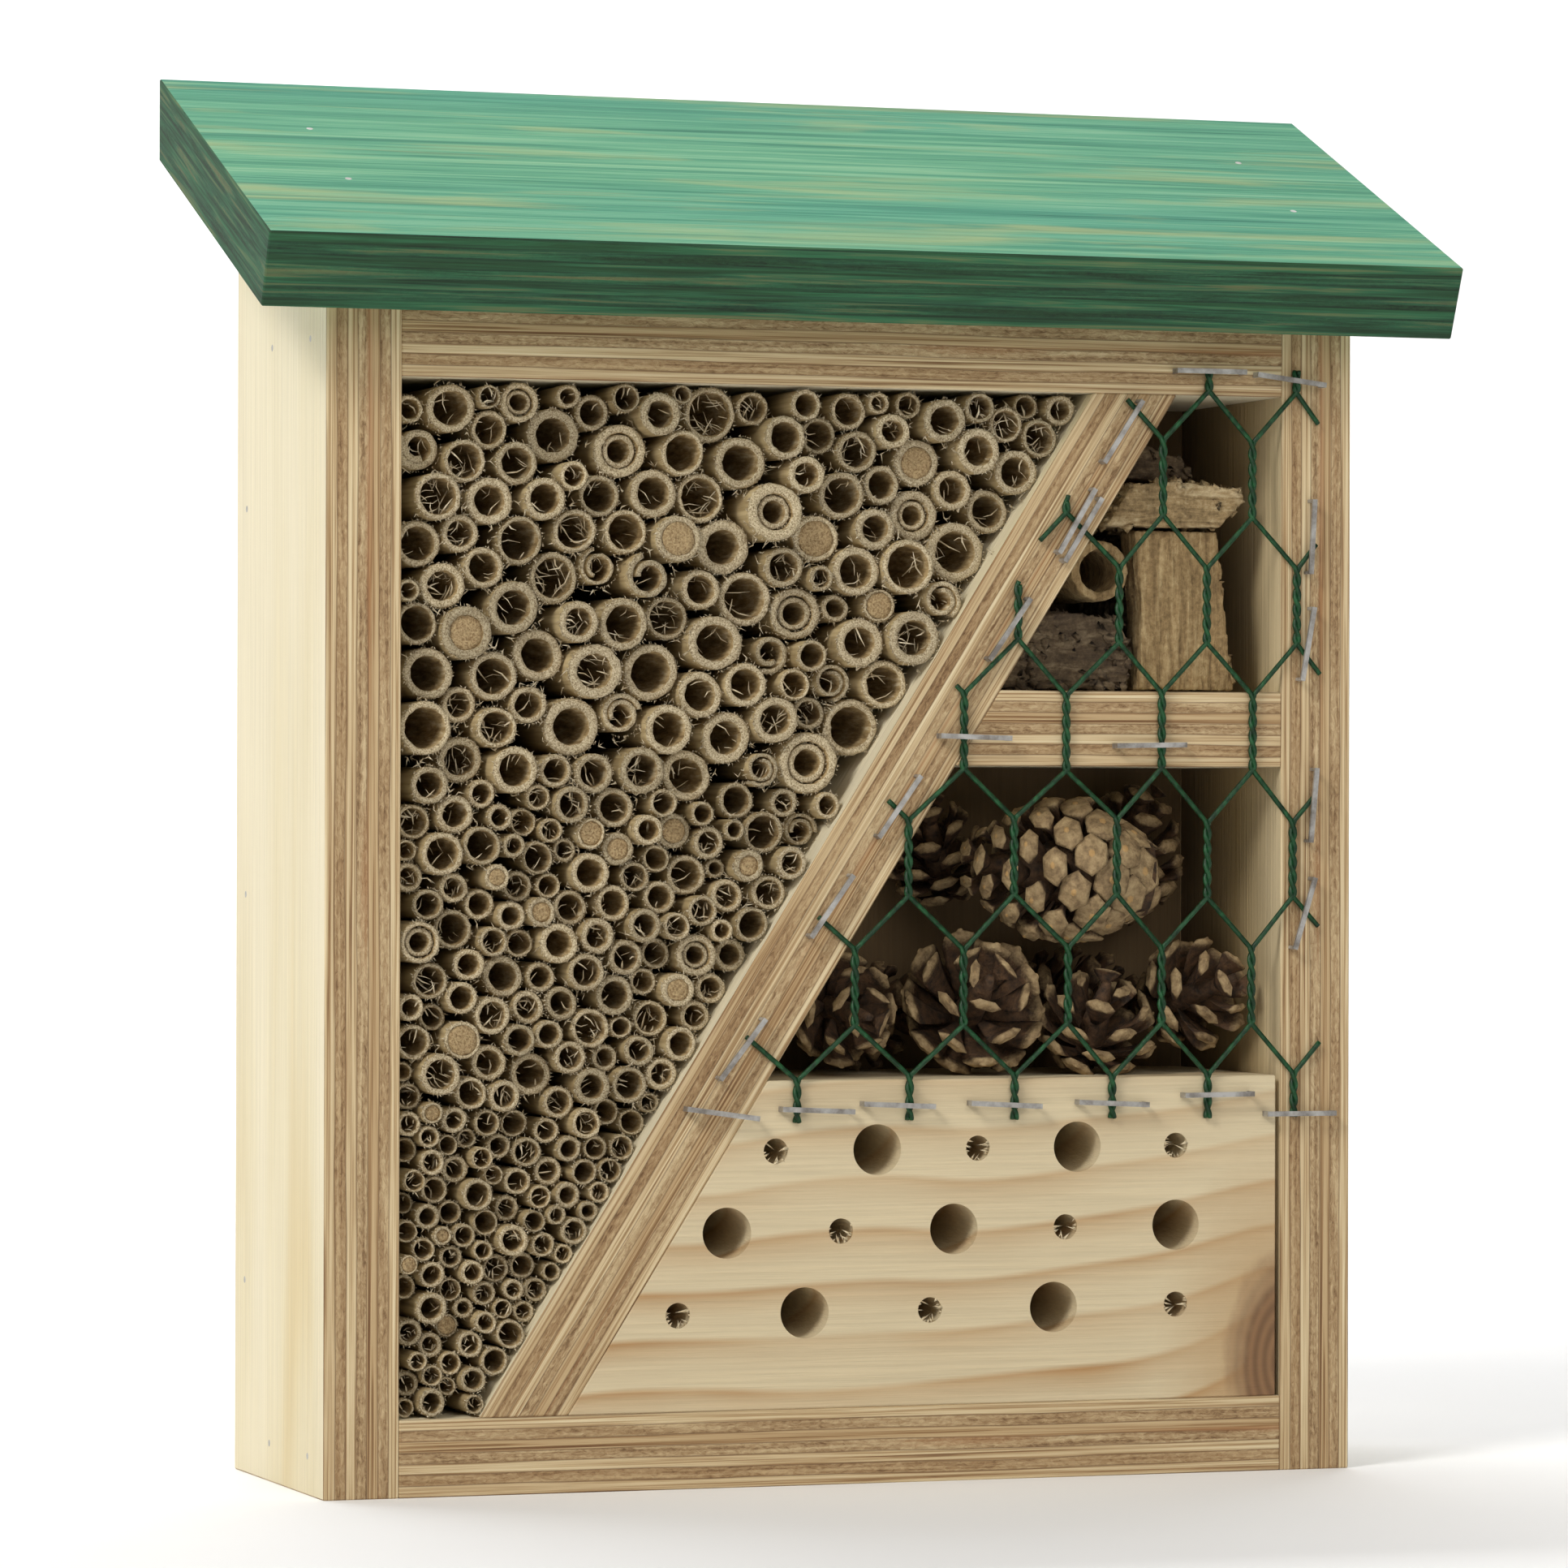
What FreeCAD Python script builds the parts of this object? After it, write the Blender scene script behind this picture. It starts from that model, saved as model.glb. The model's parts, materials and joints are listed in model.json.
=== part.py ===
"""Insect hotel: a plywood box with a sloping roof, a slanting divider, a shelf and a drilled block,
filled with hollow reeds, pine cones and bark, with hexagonal wire netting stapled over two rooms.

Millimetres. +Z is up, the front faces -Y, and the origin is under the middle of the whole object.
"""
import FreeCAD, Part
import math
import os
import random

V = FreeCAD.Vector

# ---- boards -------------------------------------------------------------------------------------
BOARD = 18.0                # thickness of every plywood board
WIDTH = 256.0               # over the two side panels
DEPTH = 80.0                # of the side panels at the bottom
INNER_HEIGHT = 240.0        # clear height between bottom board and top board
EDGE_BREAK = 0.3            # small chamfer on every sawn edge
ROOF_SLOPE = math.radians(23.5)
ROOF_FRONT_OVERHANG = 22.5  # reach of the roof's top edge past the front of the box
ROOF_SIDE_OVERHANG = 19.5
ROOF_CLEARANCE = 2.6        # between the top board's front edge and the roof
DIVIDER_FOOT_X = -80.0      # middle of the divider where it stands on the bottom board
DIVIDER_HEAD_X = 72.0       # middle of the divider where it meets the top board
UPPER_ROOM_HEIGHT = 71.0    # clear height between shelf and top board

# ---- drilled block ------------------------------------------------------------------------------
BLOCK_HEIGHT = 77.0
BLOCK_END_GAP = 1.2         # between the block and the right side panel
HOLE_ROWS = 3
HOLE_COLUMNS = 5
HOLE_ROW_PITCH = 19.0
HOLE_LOWEST = 22.5          # lowest row above the block's underside
HOLE_LEFT_MARGIN = 12.5     # from the divider to the first hole
HOLE_RIGHT_MARGIN = 26.0    # from the block's right end to the last hole
HOLE_LARGE_R = 6.0
HOLE_SMALL_R = 3.0
HOLE_DEPTH = 50.0

# ---- reeds --------------------------------------------------------------------------------------
REED_SEED = 11
REED_GAP = 0.25             # between neighbouring reeds and between reeds and boards
REED_END_GAP = 0.5          # between a reed and the back panel
REED_RECESS = 7.0           # the deepest that a reed's mouth lies behind the front
REED_PLUG = 6.0             # the stalk's natural knot closes this much of the far end
REED_MIN_R = 2.3
REED_BORE_LEAST = 0.64      # bore radius over outer radius, thick-walled reeds
REED_BORE_MOST = 0.82       # the same, thin-walled reeds
LARGE_REEDS = 12            # the thickest reeds, each in a node of its own
REED_LAYERS = 11            # the other reeds, in level bundles
THIN_REEDS_UP_TO = 0.28     # share of the room's height
MIDDLING_REEDS_UP_TO = 0.58
REED_SETTLE = 6.0           # the next size starts this far below the highest reed
REED_SEARCH = 55.0          # only reeds this near to the top of the stack can carry another
REED_PATIENCE = 60          # the room is full after this many reeds in a row find no place
REED_SHRINK_AFTER = 12      # misses before thinner and thinner reeds are tried
REED_SHRINK_STEPS = 80

# ---- pine cones ---------------------------------------------------------------------------------
# the outside of every cone from base to tip, as shares of its radius and of its length
CONE_PROFILE = [(0.42, 0.0), (0.84, 0.14), (1.0, 0.40), (0.86, 0.68), (0.50, 0.92), (0.24, 1.0)]

# ---- wire netting -------------------------------------------------------------------------------
WIRE_R = 0.6
WIRE_GAP = 0.1              # between two twisted wires, and between the netting and the boards
MESH_ROW_PITCH = 30.3
MESH_TWIST = 17.8           # length of each twisted stretch
MESH_ROWS = 7
MESH_START = 19.6           # the first twist starts this far above the top board's underside
MESH_CUT_STEPS = 200        # places tried along each run when the netting is cut to its outline
MESH_COLUMN_X = 102.0       # the middle of the right-hand column of the odd rows
MESH_COLUMN_PITCH = 22.6
MESH_SPREAD = 0.7           # the netting is pulled wider and wider towards the left
MESH_TOP = 264.5            # heights and right-hand limit at which the netting is cut off
MESH_BOTTOM = 85.0
MESH_RIGHT = 119.0
MESH_LEFT_INSET = 2.0       # the netting is cut this far left of the divider's middle line
MESH_FIRST_WIRE = -2        # wires are counted from the right
MESH_LAST_WIRE = 10

# ---- fasteners ----------------------------------------------------------------------------------
STAPLE_CROWN = 18.0
STAPLE_WIRE = 1.2
STAPLE_THICK = 0.7
STAPLE_LEG = 9.0
BRAD_R = 0.8
BRAD_LENGTH = 38.0
BRAD_INSET = 14.0           # from a board's edge to the nearest brad
BRAD_SUNK = 1.0             # a slanting brad starts this far below the surface

# ---- hanger -------------------------------------------------------------------------------------
HANGER_Z = 222.0            # middle of the keyhole's round part
PLATE_WIDTH = 22.0
PLATE_HEIGHT = 52.0
PLATE_THICK = 1.5
PLATE_FIT = 0.15            # clearance all round the plate in its pocket
KEYHOLE_R = 4.0
KEYHOLE_SLOT = 4.0
KEYHOLE_RISE = 9.0
HEAD_ROOM_R = 5.5           # pocket behind the keyhole for the wall screw's head
HEAD_ROOM_DEPTH = 7.0
SCREW_R = 1.5
SCREW_HEAD_R = 2.8
SCREW_LENGTH = 12.0
SCREW_SPREAD = 19.0         # from the middle of the plate to each screw
SCREW_FIT = 0.15

# ---- worked-out planes --------------------------------------------------------------------------
BACK_Y = (DEPTH + ROOF_FRONT_OVERHANG) / 2
FRONT_Y = BACK_Y - DEPTH
PANEL_Y = BACK_Y - BOARD                        # front face of the back panel
INNER_X = WIDTH / 2 - BOARD                     # inner faces of the side panels
FLOOR_Z = BOARD                                 # top of the bottom board
CEILING_Z = BOARD + INNER_HEIGHT                # underside of the top board
ROOF_Z = CEILING_Z + BOARD + ROOF_CLEARANCE     # the roof's underside over the front face
SHELF_TOP = CEILING_Z - UPPER_ROOM_HEIGHT
SHELF_BOTTOM = SHELF_TOP - BOARD
BLOCK_TOP = FLOOR_Z + BLOCK_HEIGHT
BLOCK_RIGHT = INNER_X - BLOCK_END_GAP
LEAN = math.atan2(DIVIDER_HEAD_X - DIVIDER_FOOT_X, INNER_HEIGHT)
DIVIDER_HALF = BOARD / 2 / math.cos(LEAN)       # half of the divider, measured level
MESH_Y = FRONT_Y - WIRE_GAP - WIRE_R            # the plane that the wires' middles lie in

NODES = {}


# ---- helpers ------------------------------------------------------------------------------------
def prism(points, direction):
    """A closed outline pushed along a direction."""
    wire = Part.makePolygon(points + [points[0]])
    return Part.Face(wire).extrude(direction)


def broken(shape):
    """The same board with its sawn edges broken."""
    return shape.makeChamfer(EDGE_BREAK, shape.Edges)


def front_outline(points, near, far):
    """A solid whose outline is given as (x, z) and which runs from y = near to y = far."""
    return prism([V(x, near, z) for x, z in points], V(0, far - near, 0))


def side_outline(points, left, right):
    """A solid whose outline is given as (y, z) and which runs from x = left to x = right."""
    return prism([V(left, y, z) for y, z in points], V(right - left, 0, 0))


def rod(radius, length, start, direction):
    return Part.makeCylinder(radius, length, start, direction)


def cut_out(node, tools):
    NODES[node] = NODES[node].cut(Part.makeCompound(tools))


def divider_x(z):
    """The divider's middle line."""
    return DIVIDER_FOOT_X + (z - FLOOR_Z) * math.tan(LEAN)


def divider_left(z):
    return divider_x(z) - DIVIDER_HALF


def divider_right(z):
    return divider_x(z) + DIVIDER_HALF


def roof_under(y):
    """Height of the roof's underside."""
    return ROOF_Z + (y - FRONT_Y) * math.tan(ROOF_SLOPE)


# ---- boards -------------------------------------------------------------------------------------
def side_panel(left):
    outline = [(FRONT_Y, 0), (BACK_Y, 0), (BACK_Y, roof_under(BACK_Y)), (FRONT_Y, roof_under(FRONT_Y))]
    return broken(side_outline(outline, left, left + BOARD))


def level_board(bottom, left, right):
    return broken(Part.makeBox(right - left, PANEL_Y - FRONT_Y, BOARD, V(left, FRONT_Y, bottom)))


def back_panel():
    outline = [(PANEL_Y, 0), (BACK_Y, 0), (BACK_Y, roof_under(BACK_Y)), (PANEL_Y, roof_under(PANEL_Y))]
    return broken(side_outline(outline, -INNER_X, INNER_X))


def roof_board():
    """The front edge is square to the slope, and the back edge is plumb, in line with the back."""
    rise = BOARD / math.cos(ROOF_SLOPE)
    lip_y = FRONT_Y - ROOF_FRONT_OVERHANG
    lip_z = roof_under(lip_y) + rise
    outline = [
        (lip_y, lip_z),
        (lip_y + BOARD * math.sin(ROOF_SLOPE), lip_z - BOARD * math.cos(ROOF_SLOPE)),
        (BACK_Y, roof_under(BACK_Y)),
        (BACK_Y, roof_under(BACK_Y) + rise),
    ]
    reach = WIDTH / 2 + ROOF_SIDE_OVERHANG
    return broken(side_outline(outline, -reach, reach))


def diagonal_divider():
    outline = [
        (divider_left(FLOOR_Z), FLOOR_Z),
        (divider_right(FLOOR_Z), FLOOR_Z),
        (divider_right(CEILING_Z), CEILING_Z),
        (divider_left(CEILING_Z), CEILING_Z),
    ]
    return broken(front_outline(outline, FRONT_Y, PANEL_Y))


def beside_divider(bottom, top, right, far):
    """A board or block whose left end is cut to lie against the divider."""
    outline = [(divider_right(bottom), bottom), (right, bottom), (right, top), (divider_right(top), top)]
    return broken(front_outline(outline, FRONT_Y, far))


def block_holes():
    """(x, z, radius) of every hole: five in a row, large and small in turn."""
    holes = []
    for row in range(HOLE_ROWS):
        z = FLOOR_Z + HOLE_LOWEST + row * HOLE_ROW_PITCH
        first = divider_right(z) + HOLE_LEFT_MARGIN
        last = BLOCK_RIGHT - HOLE_RIGHT_MARGIN
        for column in range(HOLE_COLUMNS):
            x = first + (last - first) * column / (HOLE_COLUMNS - 1)
            radius = HOLE_SMALL_R if (row + column) % 2 == 0 else HOLE_LARGE_R
            holes.append((x, z, radius))
    return holes


def drilled_block():
    block = beside_divider(FLOOR_Z, BLOCK_TOP, BLOCK_RIGHT, PANEL_Y)
    drills = [rod(radius, HOLE_DEPTH, V(x, FRONT_Y, z), V(0, 1, 0)) for x, z, radius in block_holes()]
    return block.cut(Part.makeCompound(drills))


# ---- reeds --------------------------------------------------------------------------------------
def reed_size(height, dice):
    """Thin reeds lie at the bottom, middling ones above them and thick ones at the top."""
    level = (height - FLOOR_Z) / INNER_HEIGHT
    if level < THIN_REEDS_UP_TO:
        usual, spread = 2.8, 0.5
    elif level < MIDDLING_REEDS_UP_TO:
        usual, spread = 3.8, 0.6
    else:
        usual, spread = 5.6, 0.9
    radius = dice.gauss(usual, spread)
    return max(REED_MIN_R, min(radius, usual + 2 * spread))


def room_for(x, z, radius, reeds):
    """Whether a reed fits at this place, clear of the boards and of the reeds laid so far."""
    reach = radius + REED_GAP / 2
    if x - reach < -INNER_X - 1e-6 or z + reach > CEILING_Z + 1e-6 or z - reach < FLOOR_Z - 1e-6:
        return False
    if (divider_left(z) - x) * math.cos(LEAN) < reach - 1e-6:
        return False
    for other_x, other_z, other in reeds:
        if math.hypot(x - other_x, z - other_z) < reach + other + REED_GAP / 2 - 1e-6:
            return False
    return True


def resting_on_two(first, second, reach):
    """The two places where a reed touches two reeds already laid."""
    x1, z1, r1 = first
    x2, z2, r2 = second
    d1 = r1 + REED_GAP / 2 + reach
    d2 = r2 + REED_GAP / 2 + reach
    gap = math.hypot(x2 - x1, z2 - z1)
    if gap > d1 + d2 or gap < 1e-6:
        return []
    along = (d1 * d1 - d2 * d2 + gap * gap) / (2 * gap)
    aside = math.sqrt(max(d1 * d1 - along * along, 0.0))
    ux, uz = (x2 - x1) / gap, (z2 - z1) / gap
    base_x, base_z = x1 + along * ux, z1 + along * uz
    return [(base_x - aside * uz, base_z + aside * ux), (base_x + aside * uz, base_z - aside * ux)]


def against_left(reed, reach):
    """Places where a reed touches the left side panel and one reed."""
    x, z, radius = reed
    spot = -INNER_X + reach
    far = radius + REED_GAP / 2 + reach
    if abs(spot - x) > far:
        return []
    rise = math.sqrt(far * far - (spot - x) ** 2)
    return [(spot, z + rise), (spot, z - rise)]


def against_divider(reed, reach):
    """Places where a reed touches the divider and one reed."""
    x, z, radius = reed
    across = (divider_left(z) - x) * math.cos(LEAN)     # the reed's distance from the divider
    far = radius + REED_GAP / 2 + reach
    shift = across - reach
    if abs(shift) > far:
        return []
    slide = math.sqrt(far * far - shift * shift)
    foot_x = x + shift * math.cos(LEAN)
    foot_z = z - shift * math.sin(LEAN)
    places = []
    for sign in (1, -1):
        places.append((foot_x + sign * slide * math.sin(LEAN), foot_z + sign * slide * math.cos(LEAN)))
    return places


def lowest_place(radius, reeds, band):
    """The lowest free place for a reed of this radius: against two of its neighbours or a board."""
    reach = radius + REED_GAP / 2
    top = max([z for x, z, other in reeds] + [FLOOR_Z])
    near = [reed for reed in reeds if reed[1] > top - band]
    places = [(-INNER_X + reach, FLOOR_Z + reach)]
    for index, first in enumerate(near):
        places += against_left(first, reach)
        places += against_divider(first, reach)
        for second in near[index + 1:]:
            if math.hypot(first[0] - second[0], first[1] - second[1]) < 4 * reach + first[2] + second[2]:
                places += resting_on_two(first, second, reach)
    places.sort(key=lambda place: place[1])
    for x, z in places:
        if room_for(x, z, radius, reeds):
            return x, z
    return None


def stacked_reeds():
    """Reeds stacked from the bottom up in the room left of the divider, as (x, z, radius)."""
    dice = random.Random(REED_SEED)
    reeds = []
    level = FLOOR_Z
    misses = 0
    while misses < REED_PATIENCE:
        radius = reed_size(level, dice)
        if misses > REED_SHRINK_AFTER:
            radius = max(REED_MIN_R, radius * (1 - misses / REED_SHRINK_STEPS))
        place = lowest_place(radius, reeds, REED_SEARCH)
        if place is None:
            misses += 1
            continue
        reeds.append((place[0], place[1], radius))
        level = max(level, place[1] - REED_SETTLE)
    return reeds


def reed(x, z, radius, dice):
    """A hollow stalk, open at the front and closed by its knot at the far end."""
    mouth = FRONT_Y + dice.uniform(0.4, REED_RECESS)
    bore = radius * dice.uniform(REED_BORE_LEAST, REED_BORE_MOST)
    length = PANEL_Y - REED_END_GAP - mouth
    stalk = rod(radius, length, V(x, mouth, z), V(0, 1, 0))
    return stalk.cut(rod(bore, length - REED_PLUG, V(x, mouth, z), V(0, 1, 0)))


def make_reeds():
    dice = random.Random(REED_SEED + 1)
    stalks = [(spot, reed(spot[0], spot[1], spot[2], dice)) for spot in stacked_reeds()]
    by_size = sorted(stalks, key=lambda item: -item[0][2])
    for number, item in enumerate(by_size[:LARGE_REEDS], 1):
        NODES["large_reed_%02d" % number] = item[1]
    rest = sorted(by_size[LARGE_REEDS:], key=lambda item: item[0][1])
    share = len(rest) / REED_LAYERS
    for layer in range(REED_LAYERS):
        bundle = rest[round(layer * share):round((layer + 1) * share)]
        NODES["reed_bundle_%02d" % (layer + 1)] = Part.makeCompound([item[1] for item in bundle])


# ---- bark and branches --------------------------------------------------------------------------
def bark_slab():
    """A flat slab of bark that lies on the plank and the branch."""
    left = divider_right(SHELF_TOP + 50.0) + 3.0
    outline = [
        (left - 6.0, SHELF_TOP + 39.2),
        (96.0, SHELF_TOP + 39.2),
        (103.0, SHELF_TOP + 46.0),
        (102.0, SHELF_TOP + 49.0),
        (86.0, SHELF_TOP + 51.0),
        (left + 1.0, SHELF_TOP + 50.0),
    ]
    return front_outline(outline, FRONT_Y + 5.0, PANEL_Y - 12.0)


def bark_plank():
    """An upright split plank under the slab."""
    outline = [
        (76.0, SHELF_TOP + 0.2),
        (101.0, SHELF_TOP + 0.2),
        (99.0, SHELF_TOP + 16.0),
        (96.5, SHELF_TOP + 39.0),
        (74.5, SHELF_TOP + 39.0),
        (76.5, SHELF_TOP + 20.0),
    ]
    return front_outline(outline, FRONT_Y + 7.0, FRONT_Y + 18.0)


def hollow_branch():
    """A short curled branch, open right through."""
    start = V(divider_right(SHELF_TOP + 29.0) + 10.2, FRONT_Y + 8.0, SHELF_TOP + 29.0)
    length = 30.0
    return rod(7.6, length, start, V(0, 1, 0)).cut(rod(4.8, length, start, V(0, 1, 0)))


def driftwood_chunk():
    """A dark weathered chunk on the shelf."""
    left = divider_right(SHELF_TOP)
    outline = [
        (left + 1.0, SHELF_TOP + 0.2),
        (74.0, SHELF_TOP + 0.2),
        (75.0, SHELF_TOP + 9.0),
        (72.0, SHELF_TOP + 17.5),
        (58.0, SHELF_TOP + 19.5),
        (left + 13.0, SHELF_TOP + 18.0),
    ]
    return front_outline(outline, FRONT_Y + 9.0, PANEL_Y - 8.0)


def back_chunk():
    """A rough chunk behind the plank, which holds the slab up at the back."""
    outline = [
        (77.5, SHELF_TOP + 0.2),
        (97.0, SHELF_TOP + 0.2),
        (98.5, SHELF_TOP + 25.0),
        (95.0, SHELF_TOP + 39.0),
        (79.0, SHELF_TOP + 39.0),
    ]
    return front_outline(outline, FRONT_Y + 20.0, PANEL_Y - 10.0)


def bark_offcut():
    """A crumbly offcut on top of the slab."""
    left = divider_right(SHELF_TOP + 61.0) + 1.5
    outline = [
        (left - 3.0, SHELF_TOP + 51.3),
        (97.0, SHELF_TOP + 51.3),
        (94.0, SHELF_TOP + 57.0),
        (left + 6.0, SHELF_TOP + 60.5),
        (left, SHELF_TOP + 58.0),
    ]
    return front_outline(outline, FRONT_Y + 22.0, PANEL_Y - 16.0)


def make_bark():
    NODES["bark_slab"] = bark_slab()
    NODES["bark_plank"] = bark_plank()
    NODES["hollow_branch"] = hollow_branch()
    NODES["driftwood_chunk"] = driftwood_chunk()
    NODES["back_chunk"] = back_chunk()
    NODES["bark_offcut"] = bark_offcut()


# ---- pine cones ---------------------------------------------------------------------------------
def pine_cone(middle, pointing, radius, length):
    """The outer form of a cone: a flat base, an egg-shaped body and a blunt tip."""
    profile = [V(radius * reach, 0, length * along) for reach, along in CONE_PROFILE]
    curve = Part.BSplineCurve()
    curve.interpolate(profile)
    low = V(0, 0, 0)
    high = V(0, 0, length)
    outline = Part.Wire([
        Part.makeLine(low, profile[0]),
        curve.toShape(),
        Part.makeLine(profile[-1], high),
        Part.makeLine(high, low),
    ])
    body = Part.Face(outline).revolve(low, V(0, 0, 1), 360)
    body.translate(V(0, 0, -length / 2))
    turn = FreeCAD.Rotation(V(0, 0, 1), V(*pointing))
    body.Placement = FreeCAD.Placement(V(*middle), turn).multiply(body.Placement)
    return body


def make_cones():
    """Cones in two rows: the front row rests on the block, and the back row stands behind it."""
    front = FRONT_Y + 18.0
    rear = PANEL_Y - 15.0
    floor = BLOCK_TOP
    NODES["closed_cone"] = pine_cone((58.0, front + 0.8, floor + 49.5), (-1.0, 0.1, 0.08), 17.5, 50.0)
    NODES["open_cone_left"] = pine_cone((38.5, front, floor + 18.5), (0.0, -1.0, 0.15), 17.5, 30.0)
    NODES["open_cone_middle"] = pine_cone((70.2, front, floor + 14.0), (0.1, -1.0, -0.1), 12.8, 30.0)
    NODES["open_cone_right"] = pine_cone((96.5, front, floor + 20.0), (0.1, -1.0, 0.1), 12.5, 30.0)
    NODES["cone_far_left"] = pine_cone((5.5, front + 2.0, floor + 16.0), (-0.1, -1.0, 0.15), 13.0, 30.0)
    NODES["cone_back_left"] = pine_cone((38.0, rear + 0.5, floor + 54.5), (-0.3, -0.1, 0.9), 12.5, 29.0)
    NODES["cone_back_right"] = pine_cone((90.0, rear, floor + 54.0), (0.2, -0.1, 0.9), 14.2, 36.0)
    NODES["cone_rear_left"] = pine_cone((22.0, rear + 0.5, floor + 15.0), (0.9, -0.1, 0.15), 13.2, 36.0)
    NODES["cone_rear_right"] = pine_cone((78.0, rear + 0.5, floor + 16.0), (0.9, -0.1, -0.1), 13.4, 40.0)


# ---- wire netting -------------------------------------------------------------------------------
def column_x(step):
    """Middle of a twisted stretch: step 0 is the right-hand column, and each half step is a row's
    shift to the left."""
    return MESH_COLUMN_X - MESH_COLUMN_PITCH * step - MESH_SPREAD * step * step


def row_top(row):
    return CEILING_Z + MESH_START - MESH_ROW_PITCH * row


def wire_path(number):
    """The zigzag of one wire, which twists with its left and its right neighbour in turn."""
    points = []
    for row in range(MESH_ROWS):
        to_left = (number + row) % 2 == 1
        step = (number + 1) / 2 if to_left else number / 2
        aside = WIRE_R + WIRE_GAP / 2
        x = column_x(step - 0.5) + (aside if to_left else -aside)
        points.append((x, row_top(row)))
        points.append((x, row_top(row) - MESH_TWIST))
    return points


def inside_limits(x, z):
    """How far a point is inside the netting's outline, or a negative number outside it."""
    return min(
        x - divider_x(z) + MESH_LEFT_INSET,
        MESH_RIGHT - x,
        MESH_TOP - z,
        z - MESH_BOTTOM,
    )


def cut_wire(points):
    """The stretches of a wire that lie inside the netting's outline."""
    stretches = []
    current = []
    for start, end in zip(points, points[1:]):
        samples = []
        for index in range(MESH_CUT_STEPS + 1):
            share = index / MESH_CUT_STEPS
            samples.append((start[0] + (end[0] - start[0]) * share, start[1] + (end[1] - start[1]) * share))
        kept = [sample for sample in samples if inside_limits(sample[0], sample[1]) >= 0]
        if not kept:
            if current:
                stretches.append(current)
            current = []
            continue
        if not current or kept[0] != samples[0]:
            if current:
                stretches.append(current)
            current = [kept[0]]
        current.append(kept[-1])
        if kept[-1] != samples[-1]:
            stretches.append(current)
            current = []
    if current:
        stretches.append(current)
    return stretches


def tube(points):
    """A round wire along straight runs with sharp corners."""
    spine = Part.makePolygon([V(x, MESH_Y, z) for x, z in points])
    ahead = V(points[1][0] - points[0][0], 0, points[1][1] - points[0][1])
    ring = Part.Wire([Part.makeCircle(WIRE_R, V(points[0][0], MESH_Y, points[0][1]), ahead)])
    return spine.makePipeShell([ring], True, False, 1)


def wire_stretches():
    """Every stretch of wire that is long enough to be held by a twist."""
    stretches = []
    for number in range(MESH_FIRST_WIRE, MESH_LAST_WIRE + 1):
        for stretch in cut_wire(wire_path(number)):
            length = sum(math.dist(start, end) for start, end in zip(stretch, stretch[1:]))
            if length > MESH_TWIST * 0.6:
                stretches.append(stretch)
    return stretches


def wire_mesh():
    return Part.makeCompound([tube(stretch) for stretch in wire_stretches()])


# ---- fasteners ----------------------------------------------------------------------------------
def staple(x, z, angle, rest_y):
    """A staple driven in from the front: its crown lies across the wire and its legs are in the wood."""
    half = STAPLE_CROWN / 2
    crown_y = rest_y - STAPLE_THICK
    crown = Part.makeBox(STAPLE_CROWN, STAPLE_THICK, STAPLE_WIRE, V(-half, 0, -STAPLE_WIRE / 2))
    shape = crown
    for left in (-half, half - STAPLE_THICK):
        leg = Part.makeBox(STAPLE_THICK, STAPLE_LEG, STAPLE_WIRE, V(left, 0, -STAPLE_WIRE / 2))
        shape = shape.fuse(leg)
    shape = shape.removeSplitter()
    turn = FreeCAD.Rotation(V(0, 1, 0), -angle)
    shape.Placement = FreeCAD.Placement(V(x, crown_y, z), turn)
    return shape


def leg_room(x, z, angle, runs):
    """The least distance from either leg's middle to the middle of any wire."""
    least = STAPLE_CROWN
    half = (STAPLE_CROWN - STAPLE_THICK) / 2
    turn = math.radians(angle)
    for side in (-half, half):
        leg_x = x + side * math.cos(turn)
        leg_z = z + side * math.sin(turn)
        for (x1, z1), (x2, z2) in runs:
            length = math.hypot(x2 - x1, z2 - z1)
            share = ((leg_x - x1) * (x2 - x1) + (leg_z - z1) * (z2 - z1)) / (length * length)
            share = max(0.0, min(1.0, share))
            foot_x, foot_z = x1 + share * (x2 - x1), z1 + share * (z2 - z1)
            least = min(least, math.hypot(leg_x - foot_x, leg_z - foot_z))
    return least


def slid_clear(x, z, angle, runs):
    """The staple's place, slid along its crown until both legs stand clear of the wires."""
    enough = WIRE_R + math.hypot(STAPLE_WIRE, STAPLE_THICK) / 2 + WIRE_GAP
    turn = math.radians(angle)
    for step in range(20):
        for way in (1, -1):
            slide = way * step * 0.25
            place = (x + slide * math.cos(turn), z + slide * math.sin(turn), angle)
            if leg_room(*place, runs) >= enough:
                return place
    return x, z, angle


def add_staples(node, boards, places):
    """Staples in one node, with their leg holes cut in the boards."""
    over_wire = FRONT_Y - 2 * WIRE_GAP - 4 * WIRE_R      # a twisted pair is two wires deep
    runs = [run for stretch in wire_stretches() for run in zip(stretch, stretch[1:])]
    staples = [staple(*slid_clear(x, z, angle, runs), over_wire) for x, z, angle in places]
    NODES[node] = Part.makeCompound(staples)
    for board in boards:
        cut_out(board, staples)


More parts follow.
